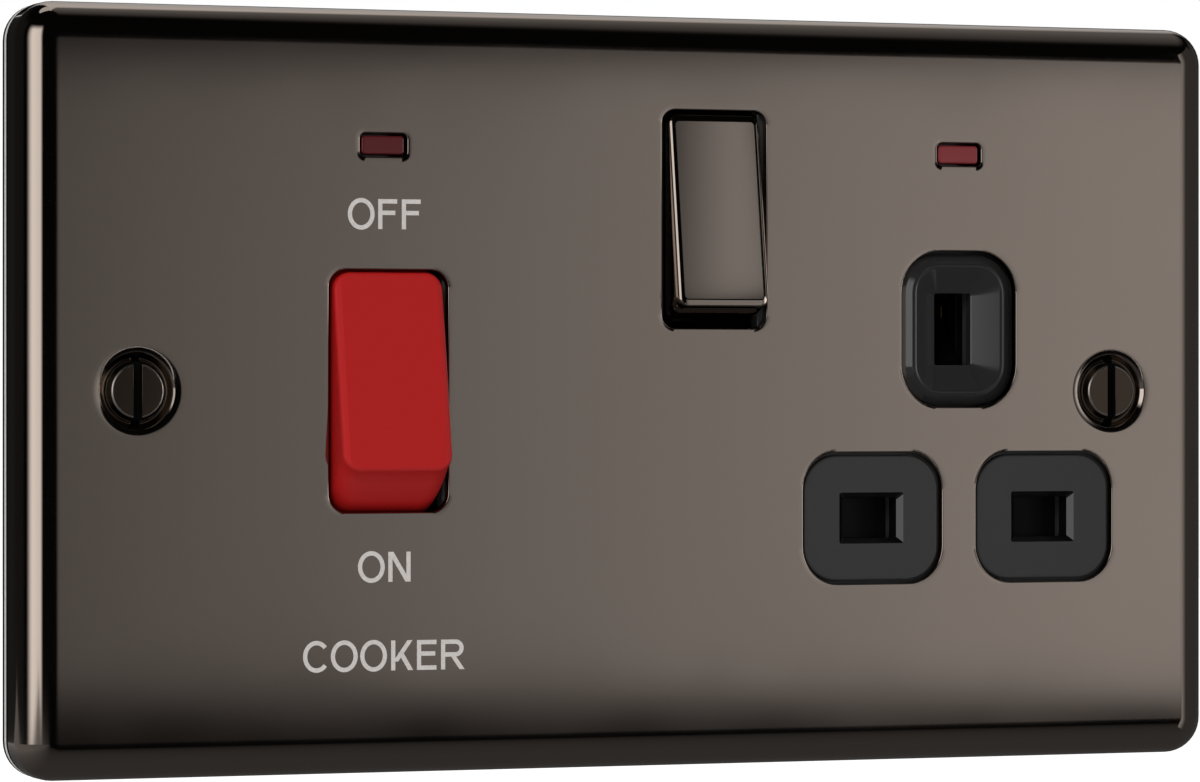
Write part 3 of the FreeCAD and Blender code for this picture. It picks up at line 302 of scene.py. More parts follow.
mesh = bmesh.new()
outside = [add_ring(mesh, plate_outline(RIM_ROUND), RIM), add_ring(mesh, plate_outline(0), RIM - RIM_ROUND)]
outside += [add_ring(mesh, plate_outline(into), FRONT + back)
            for back, into in rounding(EDGE_ROLL, ROLL_STEPS)]
outside.append(add_ring(mesh, plate_outline(EDGE_ROLL + FLAT_MARGIN), FRONT))
inside = [add_ring(mesh, plate_outline(SHEET), RIM)]
inside += [add_ring(mesh, plate_outline(SHEET + into), SHEET_BACK + back)
           for back, into in rounding(INSIDE_ROLL, CORNER_STEPS)]
loft(mesh, outside)
loft(mesh, inside)
bridge(mesh, inside[0], outside[0])
openings = [punched_hole(mesh, hole) for hole in
            [COOKER_HOLE, SOCKET_HOLE, *PIN_HOLES, EARTH_HOLE, *NEON_HOLES.values()]]
openings += [screw_dimple(mesh, (side * FIXING_X, 0)) for side in (-1, 1)]
fill(mesh, [outside[-1]] + [front for front, back in openings])
fill(mesh, [inside[-1]] + [back for front, back in openings])
stand_for(make_piece("pressed_plate", mesh, black_nickel), "face_plate")

# Legends: the two positions of the cooker switch and the word for what it feeds, in plain light capitals.
# They are screen printed in light grey ink, a thin matt layer that stands just proud of the plating.
INK = 0.02
LAYER = 0.0005
STROKE = 0.5
CAP = 3.4
OVERSHOOT = 0.1
BAR_DROP = 0.1
ROUND_WIDTH = 3.2
ARC_STEPS = 40
SLANT = 1.22 * STROKE


def rectangle(across, up):
    """Corners of a rectangle over two spans."""
    (left, right), (low, high) = across, up
    return [(left, low), (right, low), (right, high), (left, high)]


def slanted(low, high):
    """Stroke that leans from a low left corner to a high one, with level ends."""
    return [low, (low[0] + SLANT, low[1]), (high[0] + SLANT, high[1]), high]


def bow(centre, radii, start, end):
    """Strokes along part of an ellipse, between two angles in degrees."""
    angles = [math.radians(start + (end - start) * step / ARC_STEPS) for step in range(ARC_STEPS + 1)]
    outer = [(centre[0] + radii[0] * math.cos(a), centre[1] + radii[1] * math.sin(a)) for a in angles]
    inner = [(centre[0] + (radii[0] - STROKE) * math.cos(a), centre[1] + (radii[1] - STROKE) * math.sin(a))
             for a in angles]
    return [[outer[at], outer[at + 1], inner[at + 1], inner[at]] for at in range(ARC_STEPS)]


STEM = rectangle((0, STROKE), (0, CAP))
TOP_BAR = (CAP - STROKE, CAP)
MIDDLE_BAR = (CAP / 2 - BAR_DROP, CAP / 2 - BAR_DROP + STROKE)
ROUND_MIDDLE = (ROUND_WIDTH / 2, CAP / 2)
ROUND_RADII = (ROUND_WIDTH / 2, CAP / 2 + OVERSHOOT)
BOWL = 1.95 / 2
BOWL_X = 1.75
BOWL_BAR = (CAP - 2 * BOWL, CAP - 2 * BOWL + STROKE)
N_WIDTH = 2.67
LETTERS = {
    "O": bow(ROUND_MIDDLE, ROUND_RADII, 0, 360),
    "C": bow(ROUND_MIDDLE, ROUND_RADII, 40, 320),
    "F": [STEM, rectangle((STROKE, 2.27), TOP_BAR), rectangle((STROKE, 2.05), MIDDLE_BAR)],
    "E": [STEM, rectangle((STROKE, 2.35), TOP_BAR), rectangle((STROKE, 2.2), MIDDLE_BAR),
          rectangle((STROKE, 2.35), (0, STROKE))],
    "N": [STEM, rectangle((N_WIDTH - STROKE, N_WIDTH), (0, CAP)), slanted((N_WIDTH - SLANT, 0), (0, CAP))],
    "K": [STEM, slanted((STROKE / 2, 1.0), (1.95, CAP)), slanted((2.65 - SLANT, 0), (0.85, 2.0))],
    "R": [STEM, rectangle((STROKE, BOWL_X), TOP_BAR), rectangle((STROKE, BOWL_X), BOWL_BAR),
          *bow((BOWL_X, CAP - BOWL), (BOWL, BOWL), -90, 90),
          slanted((2.84 - SLANT, 0), (1.2, BOWL_BAR[0]))],
}
LEGENDS = (("OFF", (-35.61, 18.36), (0, 3.63, 6.46)), ("ON", (-34.4, -21.64), (0, 3.63)),
           ("COOKER", (-40.93, -31.7), (0, 3.3, 6.8, 10.5, 13.6, 16.5)))

# Screen ink is matt and even, with a very slight mottle where the mesh of the screen let it through.
ink = start_material("light_grey_ink", "c9c3bf", {"Roughness": 0.6})
vary(ink, grain(ink, 0.3, 0.002), "Base Color", "c3bdb9", "cec9c5")

mesh = bmesh.new()
for word, (left, low), starts in LEGENDS:
    for letter, start in zip(word, starts):
        for layer, stroke in enumerate(LETTERS[letter]):
            outline = [(left + start + x, low + z) for x, z in stroke]
            rings = [add_ring(mesh, outline, depth) for depth in (FRONT, FRONT - INK - LAYER * layer)]
            loft(mesh, rings)
            mesh.faces.new(rings[0])
            mesh.faces.new(rings[-1])
legends = make_piece("printed_legends", mesh, ink)
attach(legends, "wall_unit")

# Front mouldings: the yoke takes the trunnions of both rockers, the socket front has the pin openings.
# Both are compression moulded in black urea and lie flat against the back of the plate.
# Bosses on the socket front fill its windows: two satin ones with a slot each, and a polished earth dish.
MOULDED_EDGE = 0.22
BOSS_GAP = 0.35
BOSS_FRONT = FRONT + 0.5
BOSS_ROUND = 0.3
PIN_SLOT = (7.0, 4.8, 0.25)
SLOT_CHAMFER = 0.6
SLOT_LINING = 0.04
EARTH_SLOT = (4.7, 8.5, 0.3)
LIP_FRONT = FRONT + 0.1
LIP_BEVEL = 1.0
LIP_SLOPE = 38.0
LIP_RADIUS = 0.65
DISH_SLOPE = 29.5
LIP_STEPS = 16
SLOT_EDGE = 0.1
FLANGE_BACK = SHEET_BACK + 2.0
SOCKET_FLOOR = 0.5
WELD = 1e-6
SOFT_PAST = 32.0
SOLID_CREASE = 50.0
BOSS_CREASE = 30.0


def baked(piece):
    """The piece with its modifiers made into plain mesh."""
    result = bpy.data.meshes.new_from_object(piece.evaluated_get(bpy.context.evaluated_depsgraph_get()))
    piece.modifiers.clear()
    piece.data = result
    return piece


def soften(piece, width, angle):
    """Rounds the edges past an angle."""
    bevel = piece.modifiers.new("soft_edges", "BEVEL")
    bevel.width = width * MM
    bevel.segments = 2
    bevel.angle_limit = math.radians(angle)
    return bevel


def dress(node, name, edge, material, fronts=()):
    """Puts a soft-edged copy of a CAD solid in its place, pressed back to a front in each region."""
    mesh = bmesh.new()
    mesh.from_mesh(frame["nodes"][node].data)
    for (centre, width, height, corner), front in fronts:
        for vertex in mesh.verts:
            aside, above = vertex.co.x / MM - centre[0], vertex.co.z / MM - centre[1]
            if abs(aside) < width / 2 and abs(above) < height / 2:
                vertex.co.y = max(vertex.co.y, front * MM)
    bmesh.ops.remove_doubles(mesh, verts=mesh.verts, dist=WELD)
    bmesh.ops.dissolve_degenerate(mesh, edges=mesh.edges, dist=WELD)
    bmesh.ops.dissolve_limit(mesh, angle_limit=math.radians(1), verts=mesh.verts, edges=mesh.edges)
    for face in mesh.faces:
        face.material_index = 0
    piece = object_of(name, mesh, material)
    soften(piece, edge, SOFT_PAST).use_clamp_overlap = False
    stand_for(level_flats(creased(baked(piece), SOLID_CREASE)), node)


def inside_of(hole, gap):
    """Outline of what fills a window, with a gap all round."""
    centre, width, height, corner = hole
    return centre, width - 2 * gap, height - 2 * gap, corner - gap


# Satin urea has the fine even grit of a spark finished tool, drawn a little coarser so that it shows.
satin_urea = start_material("satin_black_urea", "343333", {"Roughness": 0.42})
grain(satin_urea, 0.22, 0.012)
# Polished urea takes the shine of the tool, with soft broad highlights on every round edge.
polished_urea = start_material("polished_black_urea", "252424", {"Roughness": 0.09, "IOR": 1.56})
grain(polished_urea, 4.0, 0.002)
# A polished core forms the slots, so their walls are glossy; their near black colour, darker than the rest of the
# urea, is painted shade in the slots.
slot_shade_urea = start_material("polished_urea_slot_painted_shade", "070707", {"Roughness": 0.14, "IOR": 1.56})

dress("switch_yoke", "switch_yoke_moulding", MOULDED_EDGE, satin_urea)
pressed = [(hole, SHEET_BACK) for hole in PIN_HOLES] + [(EARTH_HOLE, FLANGE_BACK - SOCKET_FLOOR)]
dress("socket_front", "socket_front_moulding", MOULDED_EDGE, satin_urea, pressed)

for pole, hole in zip(("line", "neutral"), PIN_HOLES):
    boss = inside_of(hole, BOSS_GAP)
    profile = [(0.0, SHEET_BACK)] + [(into, BOSS_FRONT + back) for back, into in rounding(BOSS_ROUND)]
    mesh = bmesh.new()
    rings = [add_ring(mesh, rounded_outline(*boss, -inset), depth) for inset, depth in profile]
    width, height, corner = PIN_SLOT
    slot_rings = []
    for grow, depth in ((SLOT_CHAMFER, BOSS_FRONT), (-SLOT_LINING, BOSS_FRONT + SLOT_CHAMFER + SLOT_LINING),
                        (-SLOT_LINING, FLANGE_BACK)):
        outline = rounded_outline(hole[0], width + 2 * grow, height + 2 * grow, corner)
        slot_rings.append(add_ring(mesh, outline, depth))
    loft(mesh, slot_rings)
    # The slot's chamfer and walls take the painted shade.
    for face in mesh.faces:
        face.material_index = 1
    loft(mesh, slot_rings[-1:] + rings + slot_rings[:1])
    piece = make_piece(pole + "_pin_boss", mesh, satin_urea, BOSS_CREASE)
    piece.data.materials.append(slot_shade_urea)
    stand_for(piece, "socket_front")

boss = inside_of(EARTH_HOLE, BOSS_GAP)
lip_turn, dish_turn = math.radians(LIP_SLOPE), math.radians(DISH_SLOPE)
bevel_back = LIP_FRONT + LIP_RADIUS * (1 - math.cos(lip_turn)) + LIP_BEVEL * math.tan(lip_turn)
profile = [(0.0, FLANGE_BACK - SOCKET_FLOOR / 2), (0.0, bevel_back)]
for step in range(LIP_STEPS + 1):
    turn = (lip_turn + dish_turn) * step / LIP_STEPS - lip_turn
    inset = LIP_BEVEL + LIP_RADIUS * (math.sin(turn) + math.sin(lip_turn))
    profile.append((inset, LIP_FRONT + LIP_RADIUS * (1 - math.cos(turn))))
mesh = bmesh.new()
rings = [add_ring(mesh, rounded_outline(*boss, -inset), depth) for inset, depth in profile]
run = boss[1] / 2 - profile[-1][0] - EARTH_SLOT[0] / 2 - SLOT_EDGE
dish_back = profile[-1][1] + run * math.tan(dish_turn)
slot_profile = [(SLOT_EDGE, dish_back), (0.0, dish_back + SLOT_EDGE), (0.0, FLANGE_BACK)]
rings += [add_ring(mesh, rounded_outline(boss[0], *EARTH_SLOT, grow), depth)
          for grow, depth in slot_profile]
loft(mesh, rings + rings[:1])
stand_for(make_piece("earth_pin_dish", mesh, polished_urea, BOSS_CREASE), "socket_front")

# Neon indicators: a red window in the plate for each switch, with a glass lamp and its resistor behind.
# The windows are polycarbonate dyed dark red, held by a lip behind the moulding.
# The lamps are blown glass with two nickel wires, the resistors carbon film on a lacquered ceramic rod.
LENS_GAP = 0.3
LENS_RECESS = 0.3
LENS_ROUND = 0.18
LENS_LIP = 1.0
LENS_STEP = 1.6
RESISTOR_LENGTH = 6.5
LAMP_EDGE = 0.08
BANDS = ((0.0, "c9b48a"), (0.16, "5a3720"), (0.27, "c9b48a"), (0.36, "1c1a19"), (0.47, "c9b48a"),
         (0.56, "c9a21e"), (0.67, "c9b48a"), (0.78, "a5812f"), (0.89, "c9b48a"))

# The dyed windows are dark and glossy. Their two colours are painted light and shade: the cooker's is painted
# darker and the socket's lighter, though both windows are the same red.
red_windows_lit_and_shaded = {name: start_material(name + "_dyed_polycarbonate", code, {"Roughness": 0.18, "IOR": 1.585})
               for name, code in (("cooker", "4e1519"), ("socket", "74262a"))}
# Lamp glass is thin, clear and smooth; what it shows are its own bright outlines.
lamp_glass = start_material("clear_lamp_glass", "f2f0ea",
                            {"Roughness": 0.03, "IOR": 1.5, "Transmission Weight": 1.0})


def object_axes(tree):
    """Where a point of the object lies along x, y and z."""
    place = add_node(tree, "ShaderNodeTexCoord", {}, {})
    return add_node(tree, "ShaderNodeSeparateXYZ", {}, {0: place.outputs["Object"]}).outputs


for name, hole in NEON_HOLES.items():
    centre, width, height, corner = hole
    lens = inside_of(hole, LENS_GAP)
    mesh = bmesh.new()
    profile = [(into, FRONT + LENS_RECESS + back) for back, into in reversed(rounding(LENS_ROUND))]
    profile.append((0.0, FLANGE_BACK))
    rings = [add_ring(mesh, rounded_outline(*lens, -inset), depth) for inset, depth in profile]
    lip = rounded_outline(centre, width + LENS_STEP, height + LENS_STEP, corner)
    rings += [add_ring(mesh, lip, depth) for depth in (FLANGE_BACK, FLANGE_BACK + LENS_LIP)]
    loft(mesh, rings)
    fill(mesh, [rings[0]])
    fill(mesh, [rings[-1]])
    stand_for(make_piece(name + "_neon_window", mesh, red_windows_lit_and_shaded[name]), name + "_neon_lens")
    dress(name + "_neon_lamp", name + "_indicator_lamp", LAMP_EDGE, lamp_glass)

    # Lacquer is a glossy tan skin with painted rings, which give the value of the resistor.
    lacquer = start_material(name + "_banded_lacquer", BANDS[0][1], {"Roughness": 0.35})
    tree = lacquer.node_tree
    ends = [(centre[0] + side * RESISTOR_LENGTH / 2) * MM for side in (-1, 1)]
    along = graded(tree, object_axes(tree)["X"], ends)
    rings_of_paint = add_node(tree, "ShaderNodeValToRGB", {}, {0: along})
    ramp = rings_of_paint.color_ramp
    ramp.interpolation = "CONSTANT"
    ramp.elements.remove(ramp.elements[1])
    ramp.elements[0].color = linear(BANDS[0][1])
    for at, code in BANDS[1:]:
        ramp.elements.new(at).color = linear(code)
    tree.links.new(rings_of_paint.outputs[0], tree.nodes["Principled BSDF"].inputs["Base Color"])
    dress(name + "_neon_resistor", name + "_indicator_resistor", LAMP_EDGE, lacquer)

# Rockers: hollow mouldings that tilt on a trunnion at each side, drawn level and then turned to off.
# The cooker rocker is red polycarbonate with a satin face inside a broad bevelled border.
# The socket rocker is ABS plated to match the plate, with soft sides and a narrow level band at each end.
ROCKER_WALL = 1.6
ROCKER_CAP = 2.2
RIDGE_DROP = 1.5
EAR_RADIUS = 3.2
TRUNNION_RADIUS = 1.5
TUBE_RADIUS = 2.6
PLUNGER_BORE = 1.81
PLUNGER_SHOWN = 6.2
INNER_CORNER = 0.4
JOIN = 0.5
LEAST_CORNER = 0.3
ROCKER_CREASE = 24.0
END_STEPS = 8
EAR_STEPS = 16
ROD_STEPS = 32
PIVOTS = {joint["name"]: Vector(joint["pos_m"]) / MM for joint in frame["joints"] if joint.get("pos_m")}
ARM_STRIP = 1.2
ARM_DEPTH = PIVOTS["socket_arm_tilt"].y - ARM_STRIP


def edge_profile(border, band, level):
    """Points (inset, drop) of an edge: from the border over a flat sloped band, then round to the side."""
    slope = math.atan2(level, band)
    radius = (border - band) / (1 - math.sin(slope))
    points = [(border, 0.0)] if band else []
    for step in range(EDGE_STEPS + 1):
        turn = slope + (math.pi / 2 - slope) * step / EDGE_STEPS
        points.append((radius * (1 - math.sin(turn)), level + radius * (math.cos(slope) - math.cos(turn))))
    return points


def inset_at(profile, drop):
    """How far inside the side an edge profile is at a given drop from the face."""
    for (near, start), (far, end) in zip(profile, profile[1:]):
        if drop <= end:
            return near + (far - near) * (drop - start) / (end - start)
    return 0.0


COOKER_ROCKER = {"pivot": PIVOTS["cooker_rocker_tilt"], "tilt": 10.2, "width": 13.1, "axle": 17.7,
                 "face_half": 11.3, "face_height": 12.7, "end_radius": 16.316, "skirt": 5.0,
                 "corners": (2.0, 3.0), "poles": (-3.4, 3.4),
                 "sides": edge_profile(0.8, 0.45, 0.2), "ends": edge_profile(0.35, 0.0, 0.0)}
SOCKET_ROCKER = {"pivot": PIVOTS["socket_rocker_tilt"], "tilt": 8.5, "width": 11.5, "axle": 15.7,
                 "face_half": 11.25, "face_height": 7.0, "end_radius": 12.519, "skirt": 1.0,
                 "corners": (1.3, 1.3), "poles": (0.0,),
                 "sides": edge_profile(0.85, 0.0, 0.0), "ends": edge_profile(0.85, 0.7, 0.105)}


def tilted(rocker):
    """Turn from the level rocker, drawn about its pivot, to its place in the unit."""
    turn = Matrix.Rotation(math.radians(-rocker["tilt"]), 4, "X")
    return Matrix.Translation(rocker["pivot"] * MM) @ turn


def rod_rings(axis_at, radius, span, along):
    """Circles about an axis that runs along x or y in the level rocker's frame."""
    circle = round_outline(axis_at, radius, ROD_STEPS)
    return [[(at, a, b) if along == "x" else (a, at, b) for a, b in circle] for at in span]


def add_solid(mesh, rings):
    """Closed solid through rings of points in millimetres, with a face at either end."""
    made = [[mesh.verts.new(Vector(point) * MM) for point in ring] for ring in rings]
    loft(mesh, made)
    mesh.faces.new(made[0])
    mesh.faces.new(made[-1])


def rocker_mesh(rocker):
    width, face_height, skirt = rocker["width"], rocker["face_height"], rocker["skirt"]
    ridge = face_height - RIDGE_DROP
    end_radius = rocker["end_radius"]
    ridge_half = math.sqrt(end_radius ** 2 - ridge ** 2)

    def half_length(out):
        if out >= ridge:
            share = (face_height - out) / RIDGE_DROP
            return rocker["face_half"] + (ridge_half - rocker["face_half"]) * share
        return math.sqrt(end_radius ** 2 - out ** 2)

    def level_ring(half_width, half_height, corner, out):
        outline = rounded_outline((0, 0), 2 * half_width, 2 * half_height, corner)
        return [(x, -out, z) for x, z in outline]

    mesh = bmesh.new()
    drops = sorted({round(drop, 4) for inset, drop in rocker["sides"] + rocker["ends"]})
    side_depth = face_height - skirt - drops[-1]
    drops += [drops[-1] + side_depth * step / END_STEPS for step in range(1, END_STEPS + 1)]
    rings = []
    for drop in drops:
        side, end = inset_at(rocker["sides"], drop), inset_at(rocker["ends"], drop)
        grow = (rocker["corners"][1] - rocker["corners"][0]) * drop / (face_height - skirt)
        corner = max(rocker["corners"][0] + grow - side, LEAST_CORNER)
        out = face_height - drop
        rings.append(level_ring(width / 2 - side, half_length(out) - end, corner, out))
    inner_half = (width / 2 - ROCKER_WALL, rocker["face_half"] - ROCKER_WALL)
    rings.append(level_ring(*inner_half, INNER_CORNER, skirt))
    rings.append(level_ring(*inner_half, INNER_CORNER, face_height - ROCKER_CAP))
    add_solid(mesh, rings)
    for side in (-1, 1):
        inner, outer = side * (width / 2 - ROCKER_WALL), side * width / 2
        reach = side * rocker["axle"] / 2
        arc = [math.radians(180 * step / EAR_STEPS) for step in range(EAR_STEPS + 1)]
        ear = [(EAR_RADIUS * math.sin(angle), EAR_RADIUS * math.cos(angle)) for angle in arc]
        ear += [(-skirt - JOIN, -EAR_RADIUS), (-skirt - JOIN, EAR_RADIUS)]
        add_solid(mesh, [[(x, y, z) for y, z in ear] for x in (inner, outer)])
        add_solid(mesh, rod_rings((0, 0), TRUNNION_RADIUS, (inner, reach - side * SLOT_EDGE), "x")
                  + rod_rings((0, 0), TRUNNION_RADIUS - SLOT_EDGE, (reach,), "x"))
    cap = -face_height + ROCKER_CAP
    tube_end = ARM_DEPTH - PLUNGER_SHOWN - rocker["pivot"].y
    for pole in rocker["poles"]:
        add_solid(mesh, rod_rings((pole, 0), TUBE_RADIUS, (cap - JOIN, tube_end), "y")
                  + rod_rings((pole, 0), PLUNGER_BORE, (tube_end, cap), "y"))
    mesh.transform(tilted(rocker))
    return mesh


# Red polycarbonate is coloured through, with a fine satin texture on the tool that spreads its highlights.
red = start_material("red_polycarbonate", "ab1818", {"Roughness": 0.45, "Specular IOR Level": 0.3})
grain(red, 0.3, 0.006)
# Plated ABS has the colour of the plate, over a moulding that is a little less flat than the sheet.
plated = start_material("nickel_plated_ABS", "9b8f86", {"Metallic": 1.0, "Roughness": 0.08})
grain(plated, 9.0, 0.0015)

red_rocker = make_piece("red_cooker_rocker", rocker_mesh(COOKER_ROCKER), red, ROCKER_CREASE)
stand_for(red_rocker, "cooker_rocker")
plated_rocker = make_piece("plated_socket_rocker", rocker_mesh(SOCKET_ROCKER), plated, ROCKER_CREASE)
stand_for(plated_rocker, "socket_rocker")

# Plungers, shutter and contact carrier: the pieces that slide, and the deck that guides the shutter.
# They are injection moulded in dark nylon, which needs no grease; the deck also holds the pin contacts.
SLIDING_EDGE = 0.12

# Nylon has a dull waxy skin with faint flow marks.
nylon = start_material("dark_nylon", "060606", {"Roughness": 0.42, "Specular IOR Level": 0.3})
grain(nylon, 1.5, 0.006)

for node in ("cooker_line_plunger", "cooker_neutral_plunger", "socket_plunger", "shutter",
             "contact_carrier"):
    dress(node, node + "_moulding", SLIDING_EDGE, nylon)

# Springs: one behind each plunger inside its rocker, and one under the shutter that lifts it shut.
# They are coiled from hard drawn steel wire and left bright, with plain cut ends.
WIRE = 0.36
COIL_TURNS = 5.0
PLUNGER_COIL = 1.39
SHUTTER_COIL = 0.9
WIRE_STEPS = 10
TURN_STEPS = 28
RUNNING_GAP = 0.06
PLUNGER_GAP = 0.2
PLUNGER_LENGTH = 9.0
TURN_SEED = 4
WIRE_CREASE = 60.0


def start_tree(name, sizes):
    """Geometry tree with points to stand on, a named input for each size, two turns and a finish."""
    tree = bpy.data.node_groups.new(name, "GeometryNodeTree")
    tree.interface.new_socket("Points", in_out="INPUT", socket_type="NodeSocketGeometry")
    for size in sizes:
        tree.interface.new_socket(size, in_out="INPUT", socket_type="NodeSocketFloat")
    tree.interface.new_socket("Turn From", in_out="INPUT", socket_type="NodeSocketVector")
    tree.interface.new_socket("Turn To", in_out="INPUT", socket_type="NodeSocketVector")
    tree.interface.new_socket("Finish", in_out="INPUT", socket_type="NodeSocketMaterial")
    tree.interface.new_socket("Mesh", in_out="OUTPUT", socket_type="NodeSocketGeometry")
    return tree, add_node(tree, "NodeGroupInput", {}, {}).outputs


def end_tree(tree, given, shape):
    """Stands the shape on each point, turned by a fixed seed between two turns, in its finish."""
    turn = add_node(tree, "FunctionNodeRandomValue", {"data_type": "FLOAT_VECTOR"},
                    {0: given["Turn From"], 1: given["Turn To"], "Seed": TURN_SEED})
    turned = add_node(tree, "FunctionNodeEulerToRotation", {}, {0: turn.outputs[0]})
    standing = {"Points": given["Points"], "Instance": shape, "Rotation": turned.outputs[0]}
    placed = add_node(tree, "GeometryNodeInstanceOnPoints", {}, standing)
    real = add_node(tree, "GeometryNodeRealizeInstances", {}, {0: placed.outputs[0]})
    finish = {"Geometry": real.outputs[0], "Material": given["Finish"]}
    painted = add_node(tree, "GeometryNodeSetMaterial", {}, finish)
    add_node(tree, "NodeGroupOutput", {}, {0: painted.outputs[0]})


def grown(name, tree, points, values, crease):
    """Piece that a geometry tree makes on points given in millimetres, as one plain mesh."""
    data = bpy.data.meshes.new(name)
    data.from_pydata([Vector(point) * MM for point in points], [], [])
    piece = linked(name, data)
    grower = piece.modifiers.new("grower", "NODES")
    grower.node_group = tree
    for item in tree.interface.items_tree:
        if item.name in values:
            grower[item.identifier] = values[item.name]
    return creased(baked(piece), crease)


def swept(tree, radius, turns, height, wire):
    """Wire of a round section along a helix that climbs from the origin."""
    path = {"Resolution": TURN_STEPS, "Rotations": turns, "Height": height}
    path.update({"Start Radius": radius, "End Radius": radius})
    helix = add_node(tree, "GeometryNodeCurveSpiral", {}, path)
    section = add_node(tree, "GeometryNodeCurvePrimitiveCircle", {},
                       {"Resolution": WIRE_STEPS, "Radius": wire})
    sweep = {"Curve": helix.outputs[0], "Profile Curve": section.outputs[0], "Fill Caps": True}
    return add_node(tree, "GeometryNodeCurveToMesh", {}, sweep).outputs[0]


# Bright spring wire is drawn steel with a thin film of oil.
spring_wire = start_material("bright_spring_wire", "a9abad", {"Metallic": 1.0, "Roughness": 0.25})

coil_tree, given = start_tree("coil_spring", ("Coil Radius", "Length", "Turns", "Wire Radius"))
wound = swept(coil_tree, given["Coil Radius"], given["Turns"], given["Length"], given["Wire Radius"])
end_tree(coil_tree, given, wound)
COILS = {"shutter_spring": (SHUTTER_COIL, None, 0.0),
         "socket_plunger_spring": (PLUNGER_COIL, SOCKET_ROCKER, SOCKET_ROCKER["poles"][0]),
         "cooker_line_plunger_spring": (PLUNGER_COIL, COOKER_ROCKER, COOKER_ROCKER["poles"][0]),
         "cooker_neutral_plunger_spring": (PLUNGER_COIL, COOKER_ROCKER, COOKER_ROCKER["poles"][1])}
for node, (radius, rocker, pole) in COILS.items():
    low, high = (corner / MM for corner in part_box(node))
    start, end = low.z, high.z
    place = Matrix.Translation(Vector((SOCKET_X, (low.y + high.y) / 2, start + WIRE / 2)) * MM)
    if rocker:
        start = -rocker["face_height"] + ROCKER_CAP + RUNNING_GAP
        end = ARM_DEPTH - PLUNGER_GAP - PLUNGER_LENGTH - RUNNING_GAP - rocker["pivot"].y
        level = Matrix.Translation(Vector((pole, start + WIRE / 2, 0)) * MM)
        place = tilted(rocker) @ (level @ Matrix.Rotation(math.radians(-90), 4, "X"))
    coil = grown(node + "_coil", coil_tree, [(0, 0, 0)],
                 {"Coil Radius": radius * MM, "Length": (end - start - WIRE) * MM, "Turns": COIL_TURNS,
                  "Wire Radius": WIRE / 2 * MM, "Finish": spring_wire}, WIRE_CREASE)
    coil.data.transform(place)
    stand_for(coil, node)
    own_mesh(coil)

# Conductors: contact arms, straps, busbars and sprung pin contacts, which carry the current.
# They are blanked and bent from brass strip, and the terminals are sawn from bar, bored and tapped.
STRIP_EDGE = 0.12
BLOCK_EDGE = 0.25

# Brass strip keeps the fine lines of its rolling, drawn here four times as coarse so that they show.
brass = start_material("rolled_brass", "d8b262", {"Metallic": 1.0, "Roughness": 0.3})
vary(brass, grain(brass, 0.4, 0.003, (1.0, 1.0, 20.0)), "Roughness", 0.24, 0.36)

STRIPS = ("cooker_line_contact_arm", "cooker_neutral_contact_arm", "socket_contact_arm", "line_busbar",
          "neutral_busbar", "earth_busbar", "socket_line_strap", "load_line_strap", "load_neutral_strap",
          "supply_line_strap", "supply_neutral_strap", "line_pin_contact", "neutral_pin_contact",
          "earth_pin_contact")
for node in STRIPS:
    dress(node, node + "_strip", STRIP_EDGE, brass)
for role in ("load", "supply"):
    for pole in ("line", "neutral", "earth"):
        node = f"{role}_{pole}_terminal"
        dress(node, node + "_block", BLOCK_EDGE, brass)

# Rear base: the deep box behind it all, with a shelf above and below for the cable terminals.
# It is compression moulded in dark phenolic and screwed to the plate at four corners.
BASE_EDGE = 0.3

# Phenolic is dull and faintly speckled by its filler, whose grains are drawn at about half a millimetre.
phenolic = start_material("dark_phenolic", "3b3a3a", {"Roughness": 0.55})
vary(phenolic, grain(phenolic, 0.5, 0.01), "Base Color", "343333", "444342")

dress("rear_base", "rear_base_moulding", BASE_EDGE, phenolic)

# Machine screws and nuts: four screws through the base into nuts welded to the plate, and the clamp screws.
# The screws are cold headed with a slotted cheese head and a rolled thread; all are zinc plated.
PITCH = 0.7
THREAD_DEPTH = 0.22
HEAD_STEPS = 40
SLOT_OVERRUN = 2.5
SCREW_CREASE = 40.0
NUT_EDGE = 0.15
MACHINE_SCREWS = {"base_screws": (2.8, 2.0, 1.5, 0.8, 1.0), "terminal_screws": (3.3, 1.8, 2.4, 0.9, 0.9),
                  "earth_terminal_screws": (2.7, 1.8, 1.9, 0.9, 0.9)}

# Bright zinc is a pale bluish metal with a faintly uneven bloom.
zinc = start_material("zinc_plated_steel", "c3c6c9", {"Metallic": 1.0, "Roughness": 0.3})
vary(zinc, grain(zinc, 1.2, 0.002), "Roughness", 0.24, 0.38)


def loose_parts(node):
    """Corners in millimetres of each separate solid in a CAD node."""
    mesh = bmesh.new()
    mesh.from_mesh(frame["nodes"][node].data)
    bmesh.ops.remove_doubles(mesh, verts=mesh.verts, dist=WELD)
    left = set(mesh.verts)
    boxes = []
    while left:
        found = [left.pop()]
        for vertex in found:
            near = [edge.other_vert(vertex) for edge in vertex.link_edges]
            found += [other for other in near if other in left]
            left.difference_update(near)
        spans = list(zip(*(vertex.co / MM for vertex in found)))
        boxes.append((Vector([min(span) for span in spans]), Vector([max(span) for span in spans])))
    mesh.free()
    return sorted(boxes, key=lambda box: tuple(box[0]))


def moved(tree, shape, lift):
    """Shape lifted along the screw's axis."""
    offset = add_node(tree, "ShaderNodeCombineXYZ", {}, {"Z": lift})
    inputs = {"Geometry": shape, "Translation": offset.outputs[0]}
    return add_node(tree, "GeometryNodeTransform", {}, inputs).outputs[0]


def worked(tree, operation, first, second=0.0):
    """Result of one step of arithmetic."""
    return add_node(tree, "ShaderNodeMath", {"operation": operation}, {0: first, 1: second}).outputs[0]


def times(tree, first, second):
    return worked(tree, "MULTIPLY", first, second)


